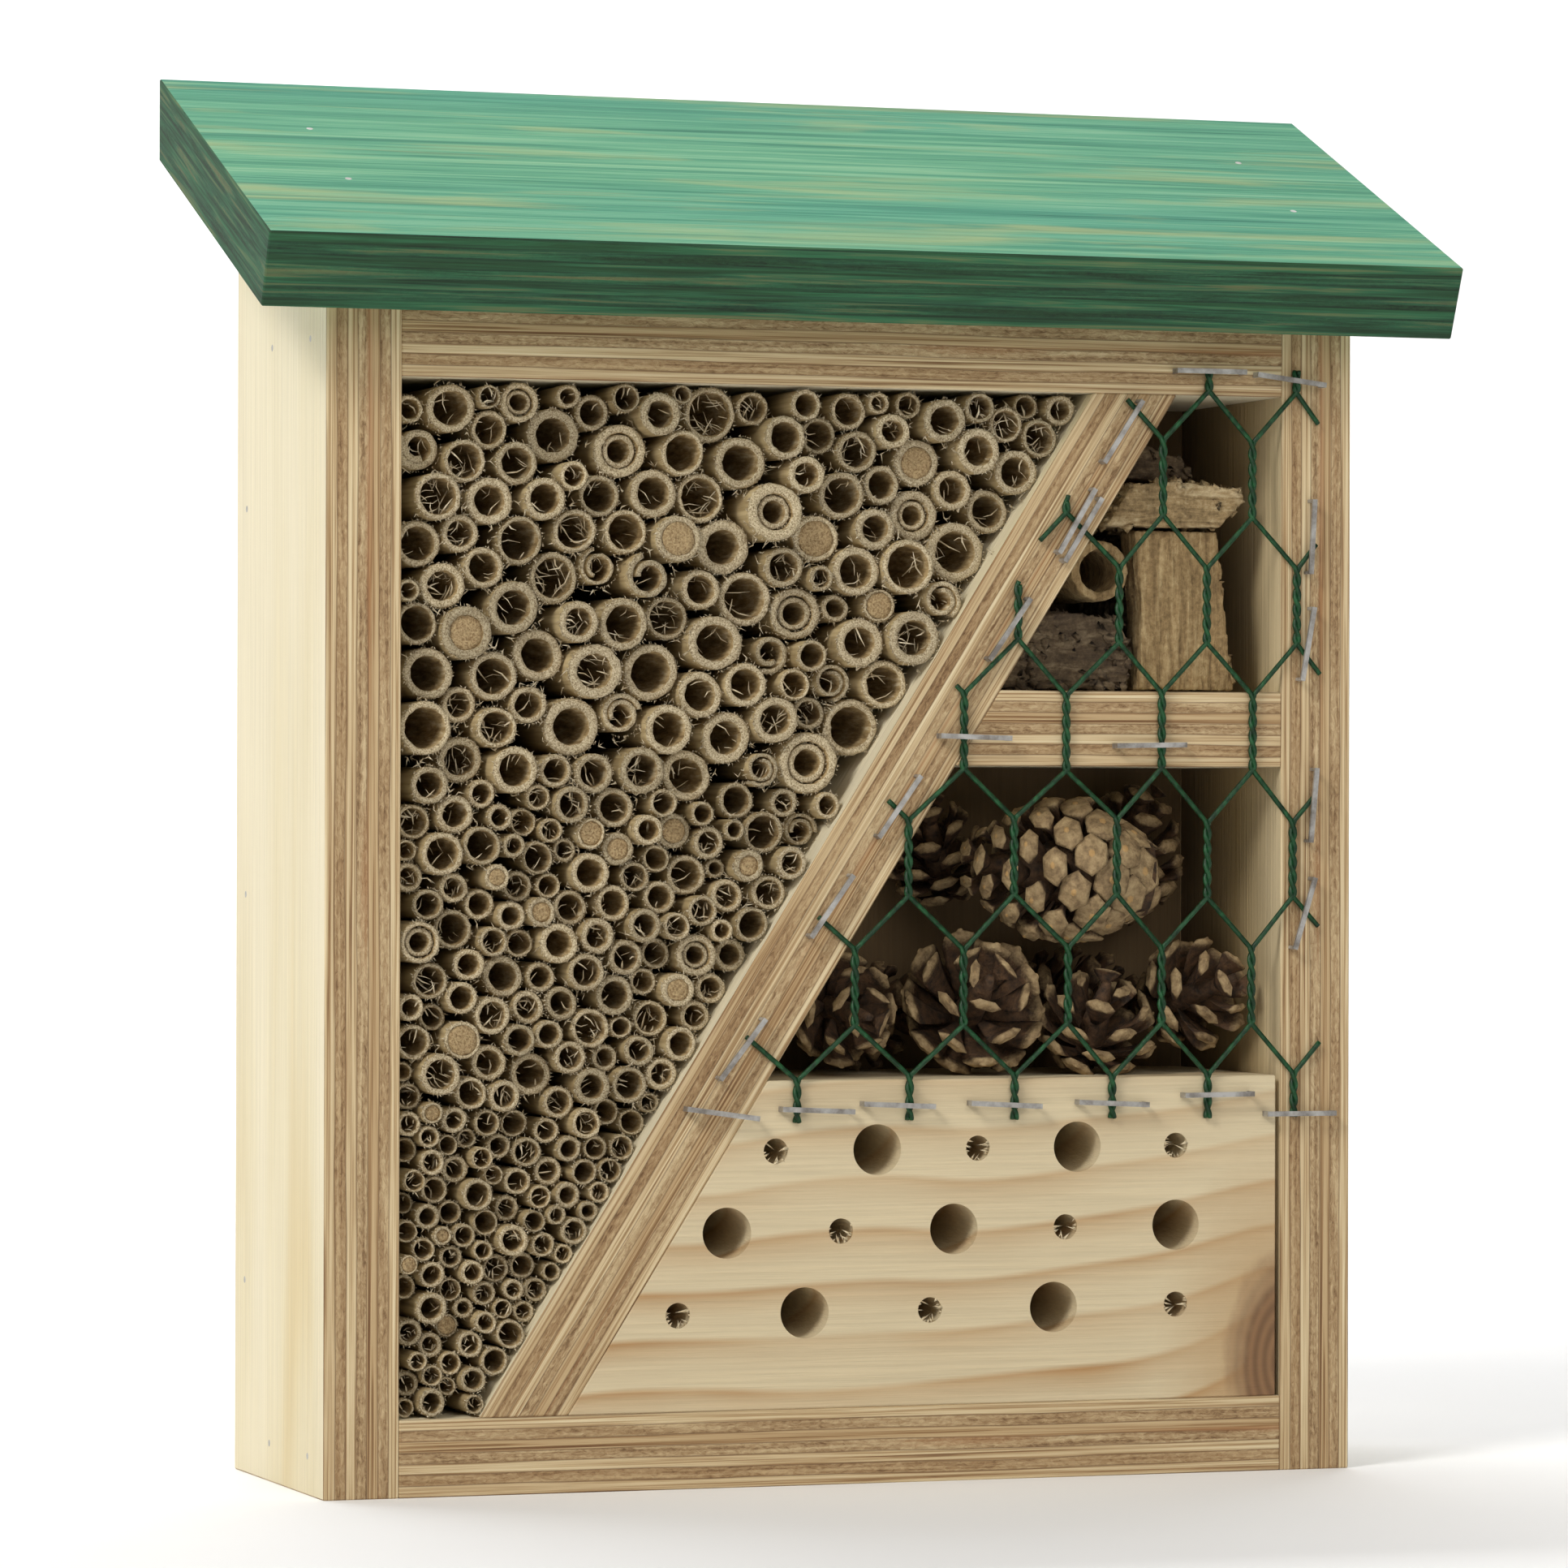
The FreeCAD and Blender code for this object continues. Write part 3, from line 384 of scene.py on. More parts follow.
def coated_wire():
    """Green plastic-coated wire: slightly glossy, with a lumpy coating."""
    graph = Graph("coated_wire", 0.42)
    graph.shader.inputs["Specular IOR Level"].default_value = 0.3
    lumps = graph.noise(graph.place(), (700.0, 700.0, 500.0), detail=3.0)
    color = graph.ramp(lumps, [
        (0.34, (0.003, 0.022, 0.007)), (0.52, (0.006, 0.046, 0.014)), (0.70, (0.014, 0.090, 0.030)),
    ])
    return graph.done(color, graph.bump(lumps, 0.18 * MM))


# ---- natural fillings ----
def reed_skin():
    """The stalk's smooth outside."""
    graph = Graph("reed_skin", 0.6)
    streak = graph.noise(graph.place(), (900.0, 30.0, 900.0), detail=3.0)
    color = graph.ramp(streak, [(0.32, (0.36, 0.26, 0.125)), (0.66, (0.62, 0.49, 0.27))])
    shade = graph.ramp(graph.island(), [(0.0, (0.72, 0.70, 0.66)), (1.0, (1.0, 1.0, 1.0))])
    return graph.done(graph.times(color, shade), graph.bump(streak, 0.1 * MM))


def reed_rim():
    """The cut end: pale fibres with dark pores."""
    graph = Graph("reed_rim", 0.9)
    pores = graph.noise(graph.place(), (2600.0, 1500.0, 2600.0), detail=4.0, rough=0.7)
    color = graph.ramp(pores, [
        (0.36, (0.20, 0.14, 0.07)), (0.48, (0.50, 0.41, 0.26)), (0.64, (0.76, 0.67, 0.48)),
    ])
    shade = graph.ramp(graph.island(), [
        (0.0, (0.74, 0.72, 0.68)), (0.6, (0.95, 0.93, 0.9)), (1.0, (1.08, 1.06, 1.02)),
    ])
    return graph.done(graph.times(color, shade), graph.bump(pores, 0.4 * MM))


def reed_bore():
    """The inside wall, browner, with shreds of pith."""
    graph = Graph("reed_bore", 0.85)
    streak = graph.noise(graph.place(), (700.0, 120.0, 700.0), detail=4.0, rough=0.65)
    color = graph.ramp(streak, [
        (0.34, (0.22, 0.145, 0.06)), (0.52, (0.44, 0.32, 0.155)), (0.70, (0.70, 0.60, 0.41)),
    ])
    shade = graph.ramp(graph.island(), [(0.0, (0.66, 0.62, 0.55)), (1.0, (1.0, 0.98, 0.94))])
    return graph.done(graph.times(color, shade), graph.bump(streak, 0.3 * MM))


def fibre():
    """Loose shreds and frayed hairs."""
    graph = Graph("fibre", 0.85)
    fine = graph.noise(graph.place(), (1200.0, 1200.0, 1200.0), detail=2.0)
    color = graph.ramp(fine, [(0.3, (0.50, 0.40, 0.24)), (0.7, (0.80, 0.72, 0.55))])
    shade = graph.ramp(graph.island(), [(0.0, (0.55, 0.50, 0.42)), (1.0, (1.0, 1.0, 1.0))])
    return graph.done(graph.times(color, shade))


def pith():
    """Spongy filling of a stalk that isn't hollow."""
    graph = Graph("pith", 0.95)
    cells = graph.noise(graph.place(), (1900.0, 1900.0, 1900.0), detail=3.0, rough=0.7)
    color = graph.ramp(cells, [(0.36, (0.24, 0.15, 0.065)), (0.60, (0.52, 0.38, 0.20))])
    return graph.done(color, graph.bump(cells, 0.6 * MM))


def cone_scale():
    """A pine cone's scale: dark brown, with a tan weathered tip."""
    graph = Graph("cone_scale", 0.78)
    place = graph.place()
    mottle = graph.noise(place, (420.0, 420.0, 420.0), detail=4.0, rough=0.6)
    fine = graph.noise(place, (1500.0, 1500.0, 1500.0), detail=3.0)
    body = graph.ramp(mottle, [(0.33, (0.024, 0.013, 0.006)), (0.66, (0.125, 0.063, 0.027))])
    tip = graph.ramp(mottle, [
        (0.30, (0.13, 0.080, 0.036)), (0.50, (0.30, 0.205, 0.10)), (0.72, (0.47, 0.345, 0.18)),
    ])
    edge = graph.math("ADD", graph.tone(), graph.math("MULTIPLY_ADD", fine, 0.36, -0.18))
    share = graph.ramp(edge, [(0.40, 0.0), (0.66, 1.0)])
    color = graph.mix(share, body, tip)
    umbo = graph.ramp(graph.tone(), [(0.90, 0.0), (0.97, 0.75)])
    color = graph.mix(umbo, color, (0.50, 0.30, 0.11))
    return graph.done(color, graph.bump(graph.math("ADD", mottle, fine), 0.35 * MM))


def weathered_wood(name, grain, colors):
    """Bark and driftwood: fibres along the grain, crumbling, from dark in the cracks to light."""
    graph = Graph(name, 0.9)
    place = graph.place()
    fibres = graph.noise(place, grain, detail=5.0, rough=0.68, distortion=0.6)
    crumbs = graph.noise(place, (650.0, 650.0, 650.0), detail=4.0, rough=0.7)
    both = graph.math("MULTIPLY_ADD", fibres, 0.6, graph.math("MULTIPLY", crumbs, 0.4))
    color = graph.ramp(both, list(zip((0.34, 0.50, 0.64), colors)))
    return graph.done(color, graph.bump(both, 1.2 * MM))


# ---- mesh building ----
class Shape:
    """Vertices and faces being gathered for one piece, with a material number for each face."""

    def __init__(self):
        self.points = []
        self.faces = []
        self.numbers = []
        self.tones = []

    def add(self, points, tone=0.0):
        start = len(self.points)
        self.points.extend(tuple(point) for point in points)
        self.tones.extend([tone] * len(points))
        return list(range(start, len(self.points)))

    def face(self, corners, number=0):
        self.faces.append(tuple(corners))
        self.numbers.append(number)

    def band(self, first, second, number=0, closed=True):
        """Quads between two rows of the same length."""
        count = len(first)
        for index in range(count if closed else count - 1):
            after = (index + 1) % count
            self.face((first[index], first[after], second[after], second[index]), number)

    def spike(self, root, tip, width, number=0):
        """A thin closed splinter with a triangular root."""
        along = (tip - root).normalized()
        aside = along.orthogonal().normalized()
        over = along.cross(aside)
        back = root - aside * width * 0.5
        rise = over * width * 0.6
        a, b, c, d = self.add([root + aside * width, back + rise, back - rise, tip])
        for corners in ((c, b, a), (a, b, d), (b, c, d), (c, a, d)):
            self.face(corners, number)

    def strand(self, line, radii, number=0, sides=8):
        """A closed round strand along a line of points."""
        rings = []
        aside = None
        for index, point in enumerate(line):
            before = line[max(index - 1, 0)]
            after = line[min(index + 1, len(line) - 1)]
            along = (after - before).normalized()
            aside = along.orthogonal() if aside is None else aside - along * aside.dot(along)
            aside.normalize()
            over = along.cross(aside)
            radius = radii[index] if isinstance(radii, list) else radii
            ring = []
            for side in range(sides):
                turn = 2 * math.pi * side / sides
                ring.append(point + aside * math.cos(turn) * radius + over * math.sin(turn) * radius)
            rings.append(self.add(ring))
        for first, second in zip(rings, rings[1:]):
            self.band(first, second, number)
        self.face(rings[0][::-1], number)
        self.face(rings[-1], number)

    def build(self, name, materials, nodes):
        """Makes the piece from what has been gathered."""
        mesh = bpy.data.meshes.new(name)
        mesh.from_pydata(self.points, [], self.faces)
        for material in materials:
            mesh.materials.append(material)
        mesh.polygons.foreach_set("material_index", self.numbers)
        mesh.polygons.foreach_set("use_smooth", [True] * len(self.faces))
        tone = mesh.attributes.new("tone", "FLOAT", "POINT")
        tone.data.foreach_set("value", self.tones)
        mesh.update()
        recalculate(mesh)
        piece = bpy.data.objects.new(name, mesh)
        bpy.context.scene.collection.objects.link(piece)
        settle(piece, nodes)


def recalculate(mesh):
    """Turns every face outwards."""
    work = bmesh.new()
    work.from_mesh(mesh)
    bmesh.ops.recalc_face_normals(work, faces=work.faces)
    work.to_mesh(mesh)
    work.free()


def settle(piece, nodes):
    """Lets a piece ride on the one body and hides the CAD nodes it stands for."""
    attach(piece, "root")
    if nodes:
        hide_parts(*nodes)


def islands(node):
    """The vertices of each separate solid in a CAD node."""
    work = bmesh.new()
    work.from_mesh(frame["nodes"][node].data)
    bmesh.ops.remove_doubles(work, verts=work.verts, dist=1e-6)
    seen = set()
    found = []
    for start in work.verts:
        if start.index in seen:
            continue
        seen.add(start.index)
        group = [start]
        for vertex in group:
            for edge in vertex.link_edges:
                other = edge.other_vert(vertex)
                if other.index not in seen:
                    seen.add(other.index)
                    group.append(other)
        found.append(np.array([vertex.co for vertex in group]))
    work.free()
    return found


# ---- reeds ----
# The order of a stalk's materials.
SKIN, RIM, BORE, HAIR, PITH = range(5)


def reed_measures(node):
    """(x, z, outer radius, bore radius, mouth, far end) of every reed in a CAD node."""
    measures = []
    for points in islands(node):
        low, high = points.min(0), points.max(0)
        x, z = (low[0] + high[0]) / 2, (low[2] + high[2]) / 2
        away = np.hypot(points[:, 0] - x, points[:, 2] - z)
        measures.append((x, z, away.max(), away.min(), low[1], high[1]))
    return sorted(measures)


def ring_of(x, z, y, radius, oval, turned, rough, sides, dice):
    """A ring round a reed's axis, slightly oval and rough."""
    ring = []
    for side in range(sides):
        turn = 2 * math.pi * side / sides
        reach = radius * (1 - oval + oval * math.cos(2 * turn + turned)) * (1 - dice.random() * rough)
        ragged = dice.random() * rough * 6 * MM
        ring.append((x + reach * math.cos(turn), y + ragged, z + reach * math.sin(turn)))
    return ring


def reed_tube(shape, x, z, radius, bore, mouth, end, dice):
    """A hollow stalk with a ragged cut end and a knot that closes it at the back."""
    sides = 30 if radius > 4.5 * MM else 20
    oval = dice.uniform(0.0, 0.035)
    turned = dice.uniform(0, 2 * math.pi)
    bottom = end - 6 * MM
    wall = radius - bore
    # Each ring's depth, radius and roughness, and the material from it to the next ring.
    profile = [
        (end, radius * 0.99, 0.0, SKIN),
        (mouth + 9 * MM, radius * 0.99, 0.01, SKIN),
        (mouth + 2.2 * MM, radius, 0.02, SKIN),
        (mouth + 0.5 * MM, radius, 0.05, RIM),
        (mouth + 0.05 * MM, radius * 0.985, 0.075, RIM),
        (mouth - 0.12 * MM, radius - wall * 0.35, 0.05, RIM),
        (mouth - 0.05 * MM, bore + wall * 0.32, 0.05, RIM),
        (mouth + 0.25 * MM, bore * 1.02, 0.07, BORE),
        (mouth + 1.3 * MM, bore * 0.98, 0.05, BORE),
        (mouth + 4 * MM, bore * 0.97, 0.03, BORE),
        (mouth + 12 * MM, bore * 0.97, 0.02, BORE),
        (bottom, bore * 0.95, 0.0, BORE),
    ]
    rings = []
    for y, at, rough, _ in profile:
        rings.append(shape.add(ring_of(x, z, y, at, oval, turned, rough, sides, dice)))
    for first, second, (_, _, _, material) in zip(rings, rings[1:], profile):
        shape.band(first, second, material)
    shape.face(rings[0], SKIN)
    shape.face(rings[-1], BORE)
    frayed_hairs(shape, x, z, radius, mouth, dice)


def frayed_hairs(shape, x, z, radius, mouth, dice):
    """Short hairs round the cut end."""
    for _ in range(int(radius / MM * 12)):
        turn = dice.uniform(0, 2 * math.pi)
        out = Vector((math.cos(turn), 0, math.sin(turn)))
        root = Vector((x, mouth + dice.uniform(0.0, 0.9) * MM, z)) + out * radius * 0.975
        lean = out * dice.uniform(0.05, 0.5)
        lean += Vector([dice.uniform(-0.5, 0.5) for _ in range(3)])
        shape.spike(root, root + lean * dice.uniform(0.5, 1.6) * MM, dice.uniform(0.08, 0.26) * MM, HAIR)


def shreds(shape, x, z, bore, mouth, dice, count):
    """Loose shreds that stand in a bore."""
    for _ in range(count):
        turn = dice.uniform(0, 2 * math.pi)
        depth = dice.uniform(0.5, 6.0) * MM
        root = Vector((x + math.cos(turn) * bore * 0.93, mouth + depth, z + math.sin(turn) * bore * 0.93))
        inward = Vector((-math.cos(turn), 0, -math.sin(turn)))
        aside = Vector((-math.sin(turn), 0, math.cos(turn)))
        reach = bore * dice.uniform(0.35, 1.25)
        swing = inward * math.cos(dice.uniform(-0.9, 0.9)) + aside * dice.uniform(-0.8, 0.8)
        swing.normalize()
        forward = Vector((0, -1, 0)) * dice.uniform(-0.2, 0.7)
        bend = aside * dice.uniform(-0.3, 0.3) * reach
        line = [root, root + (swing + forward) * reach * 0.5 + bend * 0.6, root + (swing + forward) * reach]
        line[2].y = max(line[2].y, mouth - 0.3 * MM)
        width = dice.uniform(0.10, 0.28) * MM
        shape.strand(line, [width, width * 0.9, width * 0.25], HAIR, sides=4)


def curled_reed(shape, x, z, radius, bore, mouth, end, dice):
    """A split stalk whose wall has curled inwards."""
    wall = (radius - bore) * 0.8
    turns = dice.uniform(1.15, 1.6)
    start = dice.uniform(0, 2 * math.pi)
    steps = int(34 * turns)
    shrink = (radius - wall) * 0.55 / turns
    rows = []
    for y in (mouth, mouth + 6 * MM, end):
        row = []
        for offset in (0.5, -0.5):
            line = []
            for step in range(steps + 1):
                share = step / steps
                turn = start + 2 * math.pi * turns * share
                reach = radius - wall / 2 - shrink * share * turns + offset * wall
                reach *= 1 - dice.random() * 0.03
                ragged = dice.random() * 0.5 * MM if y == mouth else 0.0
                line.append((x + reach * math.cos(turn), y + ragged, z + reach * math.sin(turn)))
            row.append(shape.add(line))
        rows.append(row)
    for first, second in zip(rows, rows[1:]):
        shape.band(first[0], second[0], SKIN, closed=False)
        shape.band(first[1], second[1], BORE, closed=False)
        for at in (0, -1):
            shape.face((first[0][at], first[1][at], second[1][at], second[0][at]), RIM)
    for row in (rows[0], rows[-1]):
        shape.band(row[0], row[1], RIM, closed=False)
    frayed_hairs(shape, x, z, radius, mouth, dice)


def pith_plug(shape, x, z, bore, mouth, dice):
    """Spongy pith that fills the mouth of a stalk."""
    sides = 22
    depth = mouth + dice.uniform(0.1, 0.9) * MM
    rings = []
    for reach, dent in ((0.985, 0.0), (0.72, -0.25), (0.42, -0.3), (0.12, -0.15)):
        rings.append(shape.add(ring_of(x, z, depth + dent * MM, bore * reach, 0.0, 0.0, 0.04, sides, dice)))
    back = shape.add(ring_of(x, z, depth + 5 * MM, bore * 0.985, 0.0, 0.0, 0.0, sides, dice))
    for first, second in zip(rings, rings[1:]):
        shape.band(first, second, PITH)
    shape.band(back, rings[0], PITH)
    shape.face(rings[-1], PITH)
    shape.face(back, PITH)


THICK_REED = 4.4 * MM
# A draw from nought to one picks the kind of stalk: each kind ends at its own share.
CURLED_UNTIL = 0.10
THIN_PITHY_UNTIL = 0.04
PITHY_UNTIL = 0.12
NESTED_UNTIL = 0.17
FULL_OF_SHREDS_UNTIL = 0.40
FEW_SHREDS_UNTIL = 0.85


def dress_reed(shape, measures, dice):
    """One stalk of a kind picked by chance: plain, pithy, nested, shredded or curled."""
    x, z, radius, bore, mouth, end = measures
    kind = dice.random()
    thick = radius > THICK_REED
    if thick and kind < CURLED_UNTIL:
        curled_reed(shape, x, z, radius, bore, mouth, end, dice)
        shreds(shape, x, z, bore * 0.8, mouth, dice, 5)
        return
    reed_tube(shape, x, z, radius, bore, mouth, end, dice)
    if kind < THIN_PITHY_UNTIL or (thick and kind < PITHY_UNTIL):
        pith_plug(shape, x, z, bore, mouth, dice)
    elif thick and kind < NESTED_UNTIL:
        reed_tube(shape, x, z, bore * 0.90, bore * 0.62, mouth + 1.0 * MM, end - 7 * MM, dice)
    elif kind < FULL_OF_SHREDS_UNTIL:
        shreds(shape, x, z, bore, mouth, dice, int(bore / MM * 3.2) + 2)
    elif kind < FEW_SHREDS_UNTIL:
        shreds(shape, x, z, bore, mouth, dice, dice.randint(1, 2) + int(bore / MM * 0.7))


def make_reeds(materials):
    """Every CAD reed dressed as a real stalk, node by node."""
    nodes = sorted(name for name in frame["nodes"] if name.startswith(("large_reed", "reed_bundle")))
    every = []
    for number, node in enumerate(nodes):
        dice = random.Random(100 + number)
        shape = Shape()
        for measures in reed_measures(node):
            dress_reed(shape, measures, dice)
            every.append(measures)
        shape.build(node + "_stalks", materials, [node])
    stray_shreds(every, materials)


STRAY_SPOTS = 420
STRAYS_BESIDE_REEDS_OVER = 4.0 * MM


def stray_shreds(every, materials):
    """Shreds and crumbs caught in the gaps between the thicker stalks."""
    dice = random.Random(77)
    spots = np.array([(x, z, radius) for x, z, radius, *_ in every])
    thick = spots[spots[:, 2] > STRAYS_BESIDE_REEDS_OVER]
    shape = Shape()
    placed = 0
    while placed < STRAY_SPOTS:
        x, z, radius = thick[dice.randrange(len(thick))]
        turn = dice.uniform(0, 2 * math.pi)
        px = x + math.cos(turn) * (radius + dice.uniform(0.2, 1.4) * MM)
        pz = z + math.sin(turn) * (radius + dice.uniform(0.2, 1.4) * MM)
        if np.any(np.hypot(spots[:, 0] - px, spots[:, 1] - pz) < spots[:, 2] + 0.1 * MM):
            continue
        past_divider = px > divider_x(pz) - BOARD * 0.66
        if past_divider or px < BOTTOM_LOW.x or pz > TOP_LOW.z or pz < BOTTOM_HIGH.z:
            continue
        placed += 1
        root = Vector((px, FRONT_Y + dice.uniform(1.5, 8.0) * MM, pz))
        for _ in range(3):
            lean = Vector((dice.uniform(-1, 1), dice.uniform(-0.9, 0.6), dice.uniform(-1, 1)))
            tip = root + lean.normalized() * dice.uniform(0.8, 2.6) * MM
            shape.spike(root, tip, dice.uniform(0.12, 0.34) * MM, 0)
    shape.build("stray_shreds", [materials[HAIR]], [])


# ---- wire netting ----
# Twists stand in columns and rows, and each twist is made by two wires.
WIRE_R = 0.6 * MM
ROW_PITCH = 30.3 * MM
TWIST = 17.8 * MM
TWIST_TURNS = 2.5
SAMPLES_A_TURN = 14
TOP_ROW_ABOVE_ROOM = 19.6 * MM
SHORTEST_WIRE = TWIST * 0.6
ROWS = 7
COLUMN_X = 102.0 * MM
COLUMN_PITCH = 22.6 * MM
COLUMN_SPREAD = 0.7 * MM
WIRES = range(-2, 11)


def column_x(step):
    """Each column of twists stands a little farther from the last one, towards the left."""
    return COLUMN_X - COLUMN_PITCH * step - COLUMN_SPREAD * step * step


def row_top(row):
    """The height at which a row's twists begin."""
    return TOP_LOW.z + TOP_ROW_ABOVE_ROOM - ROW_PITCH * row


def knot_shift(step, row):
    """Each twist hangs a little off its place, the same for both of its wires."""
    seed = Vector((step * 3.7, row * 5.3, 2.0))
    return 1.6 * MM * noise.noise(seed), 1.2 * MM * noise.noise(seed + Vector((9.0, 0.0, 0.0)))


def wire_line(number):
    """The line of one wire: twisted with its neighbours in turn, and straight in between."""
    line = []
    middle = FRONT_Y - 0.1 * MM - 1.6 * WIRE_R
    for row in range(ROWS):
        to_left = (number + row) % 2 == 1
        step = ((number + 1) / 2 if to_left else number / 2) - 0.5
        shift_x, shift_z = knot_shift(step, row)
        x = column_x(step) + shift_x
        top = row_top(row) + shift_z
        phase = 0.0 if to_left else math.pi
        samples = int(SAMPLES_A_TURN * TWIST_TURNS)
        for sample in range(samples + 1):
            share = sample / samples
            turn = phase + 2 * math.pi * TWIST_TURNS * share
            bow = math.sin(share * math.pi) * 0.5 * MM * noise.noise(Vector((step * 2.0, row * 3.0, 7.0)))
            aside = WIRE_R * 0.82 * math.cos(turn)
            outward = WIRE_R * 0.75 * math.sin(turn)
            line.append(Vector((x + bow + aside, middle + outward, top - TWIST * share)))
    return line


def netting_limits():
    """Where the netting was cut at the bottom, the top and the right, from the CAD wires."""
    low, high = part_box("wire_mesh")
    return low.z, high.z, high.x


def inside_netting(point, limits):
    """Whether a point is inside the raggedly cut outline, which follows the divider on the left."""
    bottom, top, right = limits
    ragged = 1.5 * MM * noise.noise(Vector((point.x * 90, 0.0, point.z * 60)))
    clear_left = point.x - divider_x(point.z) + 2.0 * MM + ragged
    return clear_left > 0 and bottom < point.z < top and point.x < right + ragged


def length_of(stretch):
    return sum((second - first).length for first, second in zip(stretch, stretch[1:]))


def finer(line):
    """The same line with points a millimetre or two apart along its straight stretches."""
    points = []
    for first, second in zip(line, line[1:]):
        steps = max(1, int((second - first).length / (0.5 * MM)) // 2)
        points.extend(first.lerp(second, step / steps) for step in range(steps))
    return points + [line[-1]]


def make_netting(material):
    """Both the twisted and the straight stretches of every wire, where they are inside the outline."""
    limits = netting_limits()
    shape = Shape()
    for number in WIRES:
        stretch = []
        for point in finer(wire_line(number)) + [None]:
            if point is not None and inside_netting(point, limits):
                stretch.append(point)
                continue
            if len(stretch) > 10 and length_of(stretch) > SHORTEST_WIRE:
                shape.strand(stretch, WIRE_R)
            stretch = []
    shape.build("twisted_netting", [material], ["wire_mesh"])


# ---- pine cones ----
# Which way each cone points, how open it is at its base, how much more towards its tip, how many
# scales it has and how pale their ends are.
CONES = {
    "closed_cone": ((-1.0, 0.1, 0.08), 0.0, 0.75, 62, 1.0),
    "open_cone_left": ((-0.05, -0.9, 0.45), 0.95, 0.0, 32, 0.92),
    "open_cone_middle": ((0.1, -0.45, 0.9), 0.90, 0.0, 30, 0.90),
    "open_cone_right": ((0.5, -0.8, 0.3), 0.95, 0.0, 28, 0.90),
    "cone_far_left": ((0.2, -0.9, -0.1), 0.95, 0.0, 28, 0.86),
    "cone_back_left": ((-0.3, -0.3, 0.9), 0.90, 0.0, 36, 0.80),
    "cone_back_right": ((0.2, -0.3, 0.9), 0.75, 0.0, 40, 0.76),
    "cone_rear_left": ((0.9, -0.1, 0.15), 0.85, 0.0, 38, 0.66),
    "cone_rear_right": ((0.9, -0.1, -0.1), 0.85, 0.0, 38, 0.66),
}
GOLDEN_TURN = math.radians(137.508)


def cone_measures(node, pointing):
    """The cone's start, axis, length and radius, from its CAD solid."""
    axis = Vector(pointing).normalized()
    middle_line = np.array(axis)
    points = np.array([vertex.co for vertex in frame["nodes"][node].data.vertices])
    along = points @ middle_line
    middle = (points.min(0) + points.max(0)) / 2
    aside = points - middle
    aside = aside - np.outer(aside @ middle_line, middle_line)
    start = Vector(middle) + axis * (along.min() - float(middle @ middle_line))
    return start, axis, float(along.max() - along.min()), float(np.linalg.norm(aside, axis=1).max())


# Rings of a scale from root to tip: place along it, width, thickness and paleness.
SCALE_RINGS = [
    (0.00, 0.26, 0.12, 0.00), (0.30, 0.52, 0.16, 0.04), (0.58, 0.84, 0.28, 0.20), (0.76, 1.00, 0.60, 0.44),
    (0.86, 1.02, 0.96, 0.66), (0.91, 0.90, 0.82, 0.80), (0.95, 0.46, 0.42, 0.84), (0.965, 0.22, 0.20, 0.88),
    (0.99, 0.15, 0.14, 1.00), (1.00, 0.05, 0.05, 1.00),
]
SCALE_SIDES = 12


def add_scale(shape, tip, along, aside, length, half, thick, curl, pale, dice):
    """One closed scale: a thin root that widens to a thick rhomboid end with a small boss on it."""
    over = along.cross(aside)
    twist = Matrix.Rotation(dice.uniform(-0.16, 0.16), 3, along)
    aside, over = twist @ aside, twist @ over
    root = tip - along * length
    rings = []
    for place, wide, deep, tone in SCALE_RINGS:
        middle = root + along * length * place + over * curl * length * (place * place - 1)
        points = []
        for side in range(SCALE_SIDES):
            turn = 2 * math.pi * side / SCALE_SIDES
            corner = math.cos(math.pi / 6) / math.cos(turn % (math.pi / 3) - math.pi / 6)
            reach = math.cos(turn) * corner * half * wide
            rise = math.sin(turn) * corner * thick * deep
            rough = 1 + dice.uniform(-0.05, 0.05)
            points.append(middle + aside * reach * rough + over * rise * rough)
        rings.append(shape.add(points, tone * pale))
    for first, second in zip(rings, rings[1:]):
        shape.band(first, second, 0)
    shape.face(rings[0], 0)
    shape.face(rings[-1], 0)


def cone_radius(share):
    """The cone's radius along its length, as a share of its greatest."""
    return max(0.16, math.sin(math.pi * (0.12 + 0.84 * share)) ** 0.8)


def make_cone(node, look, material, seed):
    """Scales in a golden-angle spiral round a core, more or less spread."""
    pointing, openness, opening, count, pale = look
    dice = random.Random(seed)
    start, axis, length, radius = cone_measures(node, pointing)
    side = axis.orthogonal().normalized()
    other = axis.cross(side)
    shape = Shape()
    core = [start + axis * length * share for share in (0.03, 0.3, 0.6, 0.88)]
    core_share = 0.66 - 0.48 * openness
    taper = (0.8, 1.0, 0.8 - 0.5 * opening, 0.3 - 0.2 * opening)
    shape.strand(core, [radius * core_share * k for k in taper], 0, sides=16)
    spacing = math.sqrt(2 * math.pi * radius * length * 0.72 / count)
    for number in range(count):
        share = (number + 0.5) / count
        spread_out = min(1.0, openness + opening * max(0.0, share - 0.35) * 1.6)
        turn = number * GOLDEN_TURN
        out = side * math.cos(turn) + other * math.sin(turn)
        aside = axis.cross(out)
        spread = math.radians(118 - (100 - 30 * spread_out) * share - 10 * spread_out)
        along = (axis * math.cos(spread) + out * math.sin(spread)).normalized()
        reach = radius * cone_radius(share) * dice.uniform(0.95, 1.05)
        tip = start + axis * length * (0.04 + 0.92 * share) + out * reach
        from_core = max(reach - radius * core_share * 0.5, reach * 0.4) / max(math.sin(spread), 0.45)
        scale_length = min(from_core, radius * (0.55 + 0.50 * spread_out))
        half = spacing * (0.70 - 0.16 * spread_out) * (1.06 - 0.30 * share)
        thick = half * (0.92 - 0.56 * spread_out)
        add_scale(shape, tip, along, aside, scale_length, half, thick, 0.28 * spread_out, pale, dice)
    shape.build(node + "_scales", [material], [node])


